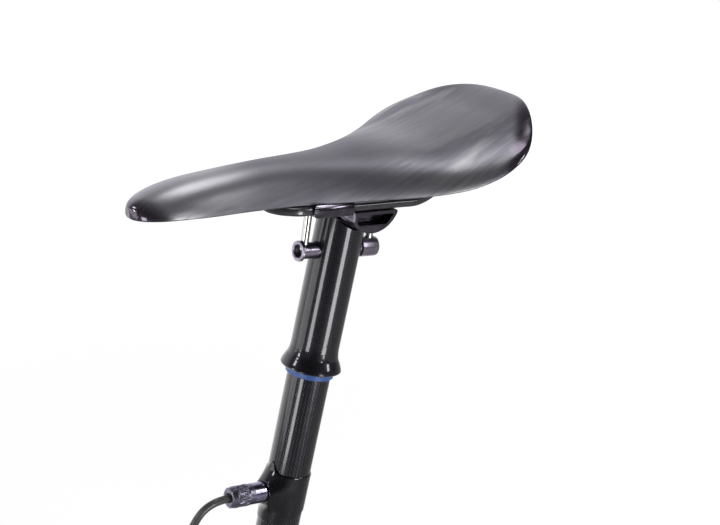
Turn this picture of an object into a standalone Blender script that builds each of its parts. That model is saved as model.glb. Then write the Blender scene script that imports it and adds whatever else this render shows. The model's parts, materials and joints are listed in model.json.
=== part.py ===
"""Bicycle saddle on a cable-operated telescopic seat post. Lengths are in metres.

World frame: +X towards the saddle's nose, +Y to the rider's left, +Z up. The origin is the
centre of the flat face at the mast's foot. The post leans back from there.
"""
import math

import bmesh
import bpy
import numpy as np
from mathutils import Matrix, Vector

# Angles of the post, the clamp and the saddle
POST_LEAN = math.radians(14.75)
HEAD_PITCH = math.radians(10.2)
CLAMP_PITCH = math.radians(8.4)
SADDLE_PITCH = math.radians(1.67)
BOSS_PITCH = math.radians(10.9)

# Clearances
FIT = 0.0003
RUNNING_FIT = 0.00022
SLEEVE_FIT = 0.0002

# Mast: the tube that the bicycle's frame holds, which is also the stanchion
TUBE_RADIUS = 0.0136
TUBE_WALL = 0.0016
INSERTION_LENGTH = 0.1426
SHOWN_STANCHION = 0.0644
STANCHION_OVERLAP = 0.0131
FOOT_THICKNESS = 0.003
FOOT_RADIUS = 0.0134
FOOT_SPIGOT = 0.012

# Cable lug on the mast and its boss
LUG_RADIUS = 0.0143
LUG_LENGTH = 0.0286
LUG_EDGE = 0.00025
LUG_LOW_SLOPE = 0.0055
LUG_TOP_RISE = 0.0062
BOSS_ABOVE_LUG = 0.0153
BOSS_RIM = 0.0079
BOSS_FACE = 0.0172
BOSS_REACH = 0.0142
BOSS_REACH_UP = 0.0052
BOSS_BORE_DEPTH = 0.0026

# Ferrule and knurled cable adjuster
FERRULE_RADIUS = 0.00655
FERRULE_END = 0.0255
FERRULE_BORE = 0.0047
FERRULE_THROAT = 0.0035
FERRULE_LIP = 0.0018
ADJUSTER_RADIUS = 0.0068
ADJUSTER_LENGTH = 0.0164
ADJUSTER_SHANK = 0.0013
ADJUSTER_BAND = 0.0033
ADJUSTER_WIRE_BORE = 0.0012
ADJUSTER_MOUTH_DEPTH = 0.0043
KNURL_COUNT = 18
KNURL_DEPTH = 0.0006

# Locking pin, its spring and its cable
TRAVEL = 0.055
LOCK_TRAVEL = 0.0035
PIN_RADIUS = 0.0029
PIN_FLANGE_RADIUS = 0.0043
PIN_FLANGE = 0.001
PIN_TAIL_RADIUS = 0.0014
PIN_BACKLASH = 0.0005
LOCK_SPRING_RADIUS = 0.004
LOCK_SPRING_WIRE = 0.00025
LOCK_SPRING_TURNS = 4
WIRE_RADIUS = 0.00075

# Guide tube inside the mast, its bushes and key
GUIDE_RADIUS = 0.009
GUIDE_WALL = 0.002
GUIDE_BELOW_BOSS = 0.0157
LOWER_BUSH_BELOW = 0.0147
LOWER_BUSH_LENGTH = 0.026
UPPER_BUSH_LENGTH = 0.012
KEY_WIDTH = 0.0026
KEY_LENGTH = 0.008
KEY_DEPTH = 0.0009
PUSHER_RADIUS = 0.0105
PUSHER_THICKNESS = 0.003
PUSHER_SPIGOT = 0.0073

# Main spring and its rod
SPRING_RADIUS = 0.0075
SPRING_WIRE = 0.001
SPRING_TURNS = 11
ROD_RADIUS = 0.0042
ROD_LENGTH = 0.0648

# Outer tube with its collar, wiper and bush
OUTER_RADIUS = 0.0151
OUTER_WALL = 0.0012
OUTER_LENGTH = 0.0997
COLLAR_BULGE = 0.00395
COLLAR_BORE = 0.0149
COLLAR_BORE_DEPTH = 0.012
WIPER_RADIUS = 0.01505
WIPER_SPIGOT = 0.01455
WIPER_SHOWN = 0.0025
WIPER_LENGTH = 0.0037
COLLAR_BUSH_LENGTH = 0.0098
STOP_THICKNESS = 0.0028
STOP_RADIUS = 0.0133

# Cross tube through the head of the outer tube
HEAD_BELOW_TOP = 0.0217
CROSS_AHEAD = 0.0279
CROSS_BEHIND = 0.0293
CROSS_RADIUS = 0.005
CROSS_BORE = 0.0039
CROSS_FLANGE = 0.0063
CROSS_FRONT_FLANGE = 0.0016
CROSS_REAR_FLANGE = 0.0098
CROSS_TAPER = 0.001
CROSS_EDGE = 0.0005
HEAD_PLUG_BELOW = 0.008
HEAD_PLUG_ABOVE = 0.0132
HEAD_PLUG_SPIGOT = 0.0125

# Clamp on the saddle's rails
SEAT_RADIUS = 0.0185
SEAT_AHEAD = -0.0045
SEAT_ABOVE = 0.0340
CRADLE_FRONT = 0.0135
CRADLE_REAR = -0.0165
CHEEK_RADIUS = 0.0187
CHEEK_CENTRE_X = -0.0004
CHEEK_CENTRE_Z = 0.0017
CHEEK_INNER = 0.0155
CHEEK_OUTER = 0.0256
CHEEK_CORNER = 0.0045
WINDOW_INSET = 0.0028
WINDOW_DEPTH = 0.0062
CRADLE_POCKET_HALF = 0.0172
CRADLE_POCKET_DEPTH = 0.0028
BOLT_NOTCH_HALF = 0.0037
BOLT_NOTCH_X = -0.0152
JAW_REAR = 0.0158
JAW_FRONT = 0.0440
CAP_REAR = -0.0255
CAP_FRONT = -0.0135
JAW_PLATE = 0.0011
JAW_SKIRT = 0.0013
JAW_LIP = 0.001
JAW_LIP_REACH = 0.003
JAW_BOSS_HALF = 0.0072
JAW_BOSS_DEPTH = 0.0052
FENCE_WIDTH = 0.0013
FENCE_DEPTH = 0.0022

# Clamp bolts and the round washers under their heads
FRONT_BOLT_X = 0.0236
REAR_BOLT_X = -0.0245
BOLT_RADIUS = 0.00245
BOLT_START = 0.0005
NUT_HALF = 0.0032
BOLT_HOLE = 0.0028
BOLT_SLACK_HOLE = 0.0036
HEAD_RADIUS = 0.00425
HEAD_LENGTH = 0.005
SOCKET_RADIUS = 0.0023
SOCKET_DEPTH = 0.0026
WASHER_RADIUS = 0.0047
WASHER_HALF = 0.0044
WASHER_LEVEL = 0.0025
WASHER_ROOM = 0.00065

# Saddle rails
RAIL_GAUGE = 0.022
RAIL_WIDTH = 0.0066
RAIL_HEIGHT = 0.0050
RAIL_LEVEL = -0.0006
RAIL_CORNER = 0.0017

# Saddle shell, measured from its tail
TAIL_BEHIND = 0.1159
TAIL_ABOVE = 0.0456
SHELL_LENGTH = 0.2666
SHELL_WALL = 0.0024
TAIL_END = 0.0644
TAIL_POWER = 2.05
TAIL_DROP = 0.0114
NOSE_END = 0.0478
NOSE_POWER = 2.2
NOSE_DROP = 0.0092
SIDE_POWER = 2.14
CROWN_POWER = 1.94
SHELL_SHARES = (0, 0.12, 0.25, 0.40, 0.55, 0.70, 0.85, 1)
SHELL_HALF_WIDTHS = (0.0527, 0.0703, 0.0625, 0.0431, 0.0263, 0.0199, 0.0195, 0.0238)
CROWN_SHARES = (0, 0.12, 0.3, 0.5, 0.7, 0.88, 1)
CROWN_HEIGHTS = (0.0248, 0.0094, -0.0009, -0.0018, -0.0002, -0.0013, -0.0037)
SKIRT_SHARES = (0, 0.15, 0.4, 0.6, 0.8, 1)
SKIRT_DEPTHS = (-0.0049, 0.0121, 0.0221, 0.0224, 0.0188, 0.0120)

# Sockets that join the rails to the shell
SOCKET_GLUE = 0.001
NOSE_SOCKET_REAR = 0.205
NOSE_SOCKET_LENGTH = 0.018
NOSE_SOCKET_BASE = -0.0165
REAR_SOCKET_X = 0.034
REAR_SOCKET_LENGTH = 0.018
REAR_SOCKET_Y = 0.030
REAR_SOCKET_WIDTH = 0.015
REAR_SOCKET_BASE = -0.0062

# Cable housing, its stored coil and what ends it
HOUSING_RADIUS = 0.0025
COIL_LEVEL = 0.084
COIL_AHEAD = 0.0508
COIL_OUTER = 0.0335
COIL_STEP = 0.0055
COIL_START = math.radians(20)
COIL_TURNS = 5.5 + COIL_START / (2 * math.pi)
TIE_WIDTH = 0.008
TIE_THICKNESS = 0.0012
TIE_ROUND_AHEAD = 0.0265
TIE_ROUND_RADIUS = 0.0095
END_FERRULE_RADIUS = 0.0031
END_FERRULE_LENGTH = 0.011
WIRE_TAIL_LENGTH = 0.032
NIPPLE_RADIUS = 0.0024
NIPPLE_LENGTH = 0.0045

ROUND_STEPS = 32

# Levels along the post, from the foot
TUBE_FOOT = FOOT_THICKNESS + FIT
LUG_LOW = TUBE_FOOT + INSERTION_LENGTH
LUG_TOP = LUG_LOW + LUG_LENGTH
WIPER_LOW = LUG_TOP + SHOWN_STANCHION
COLLAR_LOW = WIPER_LOW + WIPER_SHOWN
STANCHION_TOP = WIPER_LOW + STANCHION_OVERLAP
BOSS_LEVEL = LUG_LOW + BOSS_ABOVE_LUG
OUTER_TOP = COLLAR_LOW + OUTER_LENGTH
HEAD_LEVEL = OUTER_TOP - HEAD_BELOW_TOP
GUIDE_LOW = BOSS_LEVEL - GUIDE_BELOW_BOSS
HEAD_PLUG_LOW = HEAD_LEVEL - HEAD_PLUG_BELOW
GUIDE_TOP = HEAD_PLUG_LOW - FIT

# Levels along the boss axis, from the post's axis
PIN_TIP = GUIDE_RADIUS + PIN_BACKLASH
BORE_FLOOR = BOSS_FACE - BOSS_BORE_DEPTH
FERRULE_START = BORE_FLOOR + FIT
FLANGE_START = FERRULE_START + LOCK_TRAVEL
THROAT_START = FERRULE_END - FERRULE_LIP
ADJUSTER_START = FERRULE_END + FIT
ADJUSTER_END = ADJUSTER_START + ADJUSTER_LENGTH
MOUTH_FLOOR = ADJUSTER_END - ADJUSTER_MOUTH_DEPTH

RAIL_TOP = RAIL_LEVEL + RAIL_HEIGHT / 2
RAIL_FOOT = RAIL_LEVEL - RAIL_HEIGHT / 2
RAIL_INNER = RAIL_GAUGE - RAIL_WIDTH / 2
RAIL_OUTER = RAIL_GAUGE + RAIL_WIDTH / 2
CRADLE_TOP = RAIL_FOOT - FIT

# Path of the left rail in the clamp frame, nose end first
RAIL_NOSE_PATH = (
    (0.098, 0.0080, 0.0096), (0.090, 0.0084, 0.0090), (0.082, 0.0094, 0.0074), (0.075, 0.0108, 0.0048),
    (0.070, 0.0122, 0.0022), (0.066, 0.0138, 0.0002), (0.061, 0.0166, -0.0007), (0.057, 0.0192, -0.0007),
    (0.053, 0.0212, -0.0006),
)
RAIL_CLAMPED_PATH = ((0.0485, RAIL_GAUGE, RAIL_LEVEL), (-0.031, RAIL_GAUGE, RAIL_LEVEL))
RAIL_TAIL_PATH = (
    (-0.0365, 0.0222, 0.0006), (-0.0408, 0.0226, 0.0025), (-0.0448, 0.0232, 0.0054), (-0.052, 0.0246, 0.0130),
    (-0.060, 0.0266, 0.0220), (-0.068, 0.0284, 0.0300), (-0.076, 0.0296, 0.0360), (-0.083, 0.0300, 0.0395),
)

# Route of the housing from the adjuster to the coil, in world metres
HOUSING_ROUTE = (
    (-0.0010, 0.0, 0.1636), (0.0049, 0.0, 0.1641), (0.0109, 0.0, 0.1640), (0.0168, -0.0001, 0.1622),
    (0.0217, -0.0002, 0.1585), (0.0257, -0.0004, 0.1533), (0.0300, -0.0007, 0.1470), (0.0352, -0.0011, 0.1404),
    (0.0404, -0.0016, 0.1333),
)


def clear_scene():
    for obj in list(bpy.data.objects):
        bpy.data.objects.remove(obj, do_unlink=True)


def material(name, colour, roughness, metallic=0.0):
    made = bpy.data.materials.new(name)
    made.use_nodes = True
    shader = made.node_tree.nodes["Principled BSDF"]
    shader.inputs["Base Color"].default_value = (*colour, 1.0)
    shader.inputs["Roughness"].default_value = roughness
    shader.inputs["Metallic"].default_value = metallic
    return made


def carbon(name):
    return material(name, (0.022, 0.021, 0.025), 0.22)


def dark_metal(name):
    return material(name, (0.16, 0.155, 0.18), 0.3, 1.0)


def bright_steel(name):
    return material(name, (0.72, 0.72, 0.70), 0.25, 1.0)


def frame(name, parent, location, pitch):
    """An empty turned about Y; a positive pitch turns +Z towards +X."""
    empty = bpy.data.objects.new(name, None)
    bpy.context.collection.objects.link(empty)
    empty.parent = parent
    empty.location = location
    empty.rotation_euler = (0.0, pitch, 0.0)
    return empty


def finish_mesh(name, bm, parent, mat, location=(0, 0, 0), smooth=True):
    bmesh.ops.remove_doubles(bm, verts=bm.verts, dist=1e-7)
    bmesh.ops.recalc_face_normals(bm, faces=bm.faces)
    mesh = bpy.data.meshes.new(name)
    bm.to_mesh(mesh)
    bm.free()
    if smooth:
        mesh.shade_smooth()
        mesh.set_sharp_from_angle(angle=math.radians(32))
    obj = bpy.data.objects.new(name, mesh)
    bpy.context.collection.objects.link(obj)
    obj.parent = parent
    obj.location = location
    if mat:
        mesh.materials.append(mat)
    return obj


def turned(name, outline, parent, mat, hollow=True, steps=ROUND_STEPS, location=(0, 0, 0)):
    """A body turned about local Z from (radius, level) points; a solid one starts and ends on the axis."""
    bm = bmesh.new()
    verts = [bm.verts.new((radius, 0.0, level)) for radius, level in outline]
    edges = [bm.edges.new(pair) for pair in zip(verts[:-1], verts[1:])]
    if hollow:
        edges.append(bm.edges.new((verts[-1], verts[0])))
    bmesh.ops.spin(bm, geom=verts + edges, cent=(0, 0, 0), axis=(0, 0, 1), angle=2 * math.pi, steps=steps)
    bmesh.ops.remove_doubles(bm, verts=bm.verts, dist=1e-6)
    return finish_mesh(name, bm, parent, mat, location)


def prism(name, outline, low, high, parent, mat, axis="Y", smooth=False):
    """An outline extruded from low to high: (x, z) points along Y, (y, z) along X, (x, y) along Z."""
    bm = bmesh.new()
    corners = {
        "X": [(low, a, b) for a, b in outline],
        "Y": [(a, low, b) for a, b in outline],
        "Z": [(a, b, low) for a, b in outline],
    }[axis]
    shift = {"X": (high - low, 0, 0), "Y": (0, high - low, 0), "Z": (0, 0, high - low)}[axis]
    face = bm.faces.new([bm.verts.new(corner) for corner in corners])
    raised = bmesh.ops.extrude_face_region(bm, geom=[face])["geom"]
    bmesh.ops.translate(bm, vec=shift, verts=[v for v in raised if isinstance(v, bmesh.types.BMVert)])
    return finish_mesh(name, bm, parent, mat, smooth=smooth)


def box_outline(x_low, x_high, z_low, z_high):
    return [(x_low, z_low), (x_high, z_low), (x_high, z_high), (x_low, z_high)]


def rod(name, radius, low, high, parent, mat=None, steps=24):
    return turned(name, [(0, low), (radius, low), (radius, high), (0, high)], parent, mat, False, steps)


def loft(name, rings, parent, mat, closed_ends=True):
    """Rings of equal length joined in order, with the first and last filled in."""
    bm = bmesh.new()
    rows = [[bm.verts.new(point) for point in ring] for ring in rings]
    for row, following in zip(rows[:-1], rows[1:]):
        for i in range(len(row)):
            j = (i + 1) % len(row)
            bm.faces.new((row[i], row[j], following[j], following[i]))
    if closed_ends:
        bm.faces.new(rows[0])
        bm.faces.new(rows[-1])
    return finish_mesh(name, bm, parent, mat)


def subtract(target, *cutters):
    for cutter in cutters:
        cut = target.modifiers.new("cut", "BOOLEAN")
        cut.operation = "DIFFERENCE"
        cut.solver = "EXACT"
        cut.object = cutter
        cutter.hide_render = True
        cutter.display_type = "WIRE"
    return target


def bevel(target, width, segments=2):
    rounding = target.modifiers.new("edge", "BEVEL")
    rounding.width = width
    rounding.segments = segments
    rounding.limit_method = "ANGLE"
    rounding.angle_limit = math.radians(40)
    return target


def smooth_through(knots, values, at):
    """Monotone cubic through the knots, without overshoot."""
    knots = np.asarray(knots, float)
    values = np.asarray(values, float)
    at = np.asarray(at, float)
    step = np.diff(knots)
    slope = np.diff(values) / step
    tangent = np.zeros(len(knots))
    tangent[0] = slope[0]
    tangent[-1] = slope[-1]
    for i in range(1, len(knots) - 1):
        if slope[i - 1] * slope[i] > 0:
            before = 2 * step[i] + step[i - 1]
            after = step[i] + 2 * step[i - 1]
            tangent[i] = (before + after) / (before / slope[i - 1] + after / slope[i])
    span = np.clip(np.searchsorted(knots, at, side="right") - 1, 0, len(step) - 1)
    t = (at - knots[span]) / step[span]
    rise = values[span + 1] - values[span]
    start = tangent[span] * step[span]
    end = tangent[span + 1] * step[span]
    return values[span] + t * start + t * t * (3 * rise - 2 * start - end) + t ** 3 * (start + end - 2 * rise)


def curve_through(points, spacing):
    """Evenly spaced points on a smooth curve through the given ones."""
    points = [Vector(point) for point in points]
    ends = [2 * points[0] - points[1]] + points + [2 * points[-1] - points[-2]]
    fine = []
    for before, start, end, after in zip(ends, ends[1:], ends[2:], ends[3:]):
        for i in range(24):
            t = i / 24
            bend = (2 * before - 5 * start + 4 * end - after) * t * t
            twist = (3 * start - before - 3 * end + after) * t ** 3
            fine.append((2 * start + (end - before) * t + bend + twist) / 2)
    fine.append(points[-1])
    travelled = [0.0]
    for a, b in zip(fine[:-1], fine[1:]):
        travelled.append(travelled[-1] + (b - a).length)
    count = max(2, round(travelled[-1] / spacing))
    places = np.linspace(0, travelled[-1], count + 1)
    columns = [np.interp(places, travelled, [point[axis] for point in fine]) for axis in range(3)]
    return [Vector(point) for point in zip(*columns)]


def tube(name, points, radius, parent, mat, resolution):
    """A round tube with filled ends along a chain of points."""
    curve = bpy.data.curves.new(name, "CURVE")
    curve.dimensions = "3D"
    curve.bevel_depth = radius
    curve.bevel_resolution = resolution
    curve.use_fill_caps = True
    spline = curve.splines.new("POLY")
    spline.points.add(len(points) - 1)
    for target, point in zip(spline.points, points):
        target.co = (*point, 1.0)
    obj = bpy.data.objects.new(name, curve)
    bpy.context.collection.objects.link(obj)
    obj.parent = parent
    curve.materials.append(mat)
    return obj


def helix(name, radius, wire, turns, low, high, parent, mat, per_turn=8):
    count = int(turns * per_turn)
    points = []
    for i in range(count + 1):
        angle = 2 * math.pi * i / per_turn
        level = low + wire + (high - low - 2 * wire) * i / count
        points.append((radius * math.cos(angle), radius * math.sin(angle), level))
    return tube(name, points, wire, parent, mat, 1)


def least_gap(points, radius, neighbours):
    """Smallest clear distance between a tube's own turns, leaving out near neighbours along it."""
    chain = np.array([tuple(point) for point in points])
    apart = np.linalg.norm(chain[:, None] - chain[None, :], axis=2)
    index = np.arange(len(chain))
    apart[np.abs(index[:, None] - index[None, :]) <= neighbours] = np.inf
    return apart.min() - 2 * radius


# Mast and what is fixed to it


def boss_cutter(name, boss, radius, low, high, shift=0.0):
    """A round cutter along the boss axis, moved along the post by shift."""
    cutter = rod(name, radius, low, high, boss.parent)
    cutter.location = boss.location + Vector((0, 0, shift))
    cutter.rotation_euler = boss.rotation_euler
    return cutter


def make_mast_tube(post, boss):
    inner = TUBE_RADIUS - TUBE_WALL
    outline = [(TUBE_RADIUS, TUBE_FOOT), (TUBE_RADIUS, STANCHION_TOP), (inner, STANCHION_TOP), (inner, TUBE_FOOT)]
    body = turned("mast_tube", outline, post, carbon("mast_carbon"))
    hole = boss_cutter("cut_mast_hole", boss, PIN_RADIUS + FIT, inner - 0.003, TUBE_RADIUS + 0.003)
    return subtract(body, hole)


def make_foot(post):
    spigot = TUBE_RADIUS - TUBE_WALL - FIT
    top = TUBE_FOOT + FOOT_SPIGOT
    outline = [(0, 0), (FOOT_RADIUS, 0), (FOOT_RADIUS, FOOT_THICKNESS), (spigot, FOOT_THICKNESS), (spigot, top), (0, top)]
    turned("foot_plug", outline, post, dark_metal("foot_metal"), False)
    rod_low = top + FIT
    rod("spring_rod", ROD_RADIUS, rod_low, rod_low + ROD_LENGTH, post, dark_metal("spring_rod_metal"))
    helix("main_spring", SPRING_RADIUS, SPRING_WIRE, SPRING_TURNS, rod_low, GUIDE_LOW - PUSHER_THICKNESS - 2 * FIT,
          post, bright_steel("main_spring_steel"))


def lug_point(angle, share, radius):
    """A point on the lug's sleeve, between its sloped lower edge and its upper edge."""
    low = LUG_LOW - LUG_LOW_SLOPE * math.cos(angle)
    high = LUG_TOP + LUG_TOP_RISE * max(0.0, math.cos(angle)) ** 24
    return Vector((radius * math.cos(angle), radius * math.sin(angle), low + (high - low) * share))


def flared(point, boss):
    """Moves a point of the sleeve out along the boss axis, onto the boss or the fillet round it."""
    turn = Matrix.Rotation(boss.rotation_euler.y, 3, "Y")
    axis = turn @ Vector((0, 0, 1))
    offset = point - boss.location
    along = offset.dot(axis)
    side = offset - along * axis
    upward = max(0.0, side.z / max(side.length, 1e-9))
    reach = BOSS_REACH + BOSS_REACH_UP * upward
    if along <= 0 or side.length >= reach:
        return point
    blend = min(1.0, (reach - side.length) / (reach - BOSS_RIM)) ** 2
    return point + axis * max(0.0, BOSS_FACE - along) * blend


def make_lug(post, boss):
    front = np.radians(np.linspace(-48, 48, 17))
    back = np.radians(np.linspace(48, 312, 17))[1:-1]
    angles = [*front, *back]
    shares = np.linspace(0, 1, 15)
    bm = bmesh.new()
    outer = []
    inner = []
    for share in shares:
        edge = LUG_RADIUS if share < 1 else TUBE_RADIUS + SLEEVE_FIT + LUG_EDGE
        outer.append([bm.verts.new(flared(lug_point(a, share, edge), boss)) for a in angles])
        inner.append([bm.verts.new(lug_point(a, share, TUBE_RADIUS + SLEEVE_FIT)) for a in angles])
    rows = outer + inner[::-1] + [outer[0]]
    for row, following in zip(rows[:-1], rows[1:]):
        for i in range(len(angles)):
            j = (i + 1) % len(angles)
            bm.faces.new((row[i], row[j], following[j], following[i]))
    body = finish_mesh("cable_lug", bm, post, carbon("lug_carbon"))
    bore = boss_cutter("cut_lug_bore", boss, FERRULE_RADIUS + FIT, BORE_FLOOR, BOSS_FACE + 0.01)
    hole = boss_cutter("cut_lug_hole", boss, PIN_RADIUS + FIT, BORE_FLOOR - 0.004, BORE_FLOOR + 0.001)
    return subtract(body, bore, hole)


def make_bushes(post, boss):
    outer = TUBE_RADIUS - TUBE_WALL - RUNNING_FIT
    inner = GUIDE_RADIUS + RUNNING_FIT
    low = BOSS_LEVEL - LOWER_BUSH_BELOW
    high = low + LOWER_BUSH_LENGTH
    lower = turned("lower_guide_bush", [(outer, low), (outer, high), (inner, high), (inner, low)], post,
                   dark_metal("lower_bush_metal"))
    subtract(lower, boss_cutter("cut_bush_hole", boss, PIN_RADIUS + FIT, inner - 0.003, outer + 0.003))
    top = STANCHION_TOP - FIT
    base = top - UPPER_BUSH_LENGTH
    upper = turned("upper_guide_bush", [(outer, base), (outer, top), (inner, top), (inner, base)], post,
                   material("upper_bush_plastic", (0.03, 0.03, 0.03), 0.5))
    slot_half = KEY_WIDTH / 2 + FIT
    slot = prism("cut_key_slot", [(-outer - 0.002, -slot_half), (-inner + 0.003, -slot_half),
                                  (-inner + 0.003, slot_half), (-outer - 0.002, slot_half)],
                 base - 0.001, top + 0.001, post, None, "Z")
    subtract(upper, slot)
    key_low = base + (UPPER_BUSH_LENGTH - KEY_LENGTH) / 2
    key_in = GUIDE_RADIUS - KEY_DEPTH
    key_out = outer - FIT
    half = KEY_WIDTH / 2
    key = prism("guide_key", [(-key_out, -half), (-key_in, -half), (-key_in, half), (-key_out, half)],
                key_low, key_low + KEY_LENGTH, post, bright_steel("key_steel"), "Z")
    bevel(key, 0.0002, 1)


def make_ferrule(boss):
    outline = [(FERRULE_RADIUS, FERRULE_START), (FERRULE_RADIUS, FERRULE_END), (FERRULE_THROAT, FERRULE_END),
               (FERRULE_THROAT, THROAT_START), (FERRULE_BORE, THROAT_START), (FERRULE_BORE, FERRULE_START)]
    turned("lug_ferrule", outline, boss, dark_metal("ferrule_metal"))


def make_adjuster(boss):
    shank = FERRULE_THROAT - FIT
    edge = 0.0005
    band = ADJUSTER_END - ADJUSTER_BAND
    mouth = HOUSING_RADIUS + 0.0004
    outline = [
        (shank, ADJUSTER_START - ADJUSTER_SHANK), (shank, ADJUSTER_START), (ADJUSTER_RADIUS - edge, ADJUSTER_START),
        (ADJUSTER_RADIUS, ADJUSTER_START + edge), (ADJUSTER_RADIUS, band), (ADJUSTER_RADIUS - edge, band + edge),
        (ADJUSTER_RADIUS - edge, ADJUSTER_END - edge), (ADJUSTER_RADIUS - 2 * edge, ADJUSTER_END),
        (mouth, ADJUSTER_END), (mouth, MOUTH_FLOOR), (ADJUSTER_WIRE_BORE, MOUTH_FLOOR),
        (ADJUSTER_WIRE_BORE, ADJUSTER_START - ADJUSTER_SHANK),
    ]
    body = turned("barrel_adjuster", outline, boss, dark_metal("adjuster_metal"), steps=2 * KNURL_COUNT)
    for vert in body.data.vertices:
        radius = math.hypot(vert.co.x, vert.co.y)
        place = round(math.atan2(vert.co.y, vert.co.x) / (math.pi / KNURL_COUNT))
        if radius > ADJUSTER_RADIUS - edge / 2 and place % 2:
            shrink = 1 - KNURL_DEPTH / radius
            vert.co.x *= shrink
            vert.co.y *= shrink


def make_lock(boss):
    chamfer = 0.0004
    flange_end = FLANGE_START + PIN_FLANGE
    tail = THROAT_START - FIT
    outline = [(0, PIN_TIP), (PIN_RADIUS - chamfer, PIN_TIP), (PIN_RADIUS, PIN_TIP + chamfer),
               (PIN_RADIUS, FLANGE_START), (PIN_FLANGE_RADIUS, FLANGE_START), (PIN_FLANGE_RADIUS, flange_end),
               (PIN_TAIL_RADIUS, flange_end), (PIN_TAIL_RADIUS, tail), (0, tail)]
    turned("lock_pin", outline, boss, bright_steel("lock_pin_steel"), False, 20)
    rod("lock_wire", WIRE_RADIUS, tail + FIT, MOUTH_FLOOR - FIT, boss, bright_steel("lock_wire_steel"), 10)
    helix("lock_spring", LOCK_SPRING_RADIUS, LOCK_SPRING_WIRE, LOCK_SPRING_TURNS, flange_end + FIT, THROAT_START - FIT,
          boss, bright_steel("lock_spring_steel"), 10)


# Sliding outer tube and what is fixed to it


def make_guide_tube(post, boss):
    inner = GUIDE_RADIUS - GUIDE_WALL
    body = turned("guide_tube", [(GUIDE_RADIUS, GUIDE_LOW), (GUIDE_RADIUS, GUIDE_TOP), (inner, GUIDE_TOP),
                                 (inner, GUIDE_LOW)], post, material("guide_alloy", (0.5, 0.5, 0.52), 0.35, 1.0), steps=32)
    for share in (0, 0.5, 1):
        name = "cut_lock_hole_%d" % round(2 * share)
        subtract(body, boss_cutter(name, boss, PIN_RADIUS + FIT, inner - 0.002, GUIDE_RADIUS + 0.002, share * TRAVEL))
    groove_half = KEY_WIDTH / 2 + FIT
    floor = GUIDE_RADIUS - KEY_DEPTH - FIT
    groove_low = STANCHION_TOP - UPPER_BUSH_LENGTH - 0.003
    groove = prism("cut_key_groove", [(-GUIDE_RADIUS - 0.002, -groove_half), (-floor, -groove_half),
                                      (-floor, groove_half), (-GUIDE_RADIUS - 0.002, groove_half)],
                   groove_low, GUIDE_TOP + 0.002, post, None, "Z")
    subtract(body, groove)
    spigot = inner - FIT
    top = GUIDE_LOW - FIT
    outline = [(0, top - PUSHER_THICKNESS), (PUSHER_RADIUS, top - PUSHER_THICKNESS), (PUSHER_RADIUS, top),
               (spigot, top), (spigot, top + PUSHER_SPIGOT), (0, top + PUSHER_SPIGOT)]
    turned("spring_pusher", outline, post, dark_metal("pusher_metal"), False, 32)


def collar_radius(height):
    """Outer radius of the tube at a height above its lower end, where it bulges into the collar."""
    knots = (0, 0.0003, 0.0010, 0.0020, 0.0044, 0.0075, 0.0105, 0.0152)
    shares = (0.10, 0.45, 0.86, 1.0, 0.88, 0.54, 0.2, 0)
    return OUTER_RADIUS + COLLAR_BULGE * float(smooth_through(knots, shares, height))


def make_outer_tube(post, head):
    heights = (0, 0.0003, 0.0008, 0.0014, 0.0022, 0.0036, 0.0052, 0.0070, 0.0092, 0.0118, 0.0152)
    inner = OUTER_RADIUS - OUTER_WALL
    outline = [(collar_radius(height), COLLAR_LOW + height) for height in heights]
    outline += [(OUTER_RADIUS, OUTER_TOP), (inner, OUTER_TOP), (inner, COLLAR_LOW + COLLAR_BORE_DEPTH),
                (COLLAR_BORE, COLLAR_LOW + COLLAR_BORE_DEPTH), (COLLAR_BORE, COLLAR_LOW)]
    body = turned("outer_tube", outline, post, carbon("outer_carbon"))
    seat = rod("cut_seat", SEAT_RADIUS, -0.03, 0.03, head, steps=48)
    seat.location = (SEAT_AHEAD, 0, SEAT_ABOVE)
    seat.rotation_euler = (math.pi / 2, 0, 0)
    cross = rod("cut_cross_bore", CROSS_RADIUS + FIT, -0.03, 0.03, head)
    cross.rotation_euler = (0, math.pi / 2, 0)
    subtract(body, seat, cross)

    seal_in = TUBE_RADIUS + RUNNING_FIT
    seal_high = WIPER_LOW + WIPER_LENGTH
    band_high = COLLAR_LOW - FIT
    outline = [(WIPER_RADIUS, WIPER_LOW), (WIPER_RADIUS, band_high), (WIPER_SPIGOT, band_high), (WIPER_SPIGOT, seal_high),
               (seal_in, seal_high), (seal_in, WIPER_LOW)]
    turned("wiper_seal", outline, post, material("wiper_blue", (0.07, 0.16, 0.42), 0.45))
    bush_low = seal_high + FIT
    bush_high = bush_low + COLLAR_BUSH_LENGTH - FIT
    bush_out = COLLAR_BORE - FIT
    turned("collar_bush", [(bush_out, bush_low), (bush_out, bush_high), (seal_in, bush_high), (seal_in, bush_low)], post,
           material("collar_bush_plastic", (0.55, 0.53, 0.48), 0.5))
    stop_high = HEAD_PLUG_LOW - FIT
    stop_low = stop_high - STOP_THICKNESS
    stop_in = GUIDE_RADIUS + FIT
    turned("bump_stop", [(STOP_RADIUS, stop_low), (STOP_RADIUS, stop_high), (stop_in, stop_high), (stop_in, stop_low)],
           post, material("stop_rubber", (0.03, 0.03, 0.03), 0.8))

    plug = inner - FIT
    spigot = GUIDE_RADIUS - GUIDE_WALL - FIT
    plug_high = HEAD_LEVEL + HEAD_PLUG_ABOVE
    outline = [(0, HEAD_PLUG_LOW - HEAD_PLUG_SPIGOT), (spigot, HEAD_PLUG_LOW - HEAD_PLUG_SPIGOT), (spigot, HEAD_PLUG_LOW),
               (plug, HEAD_PLUG_LOW), (plug, plug_high), (0, plug_high)]
    subtract(turned("head_plug", outline, post, dark_metal("head_plug_metal"), False), cross)


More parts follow.
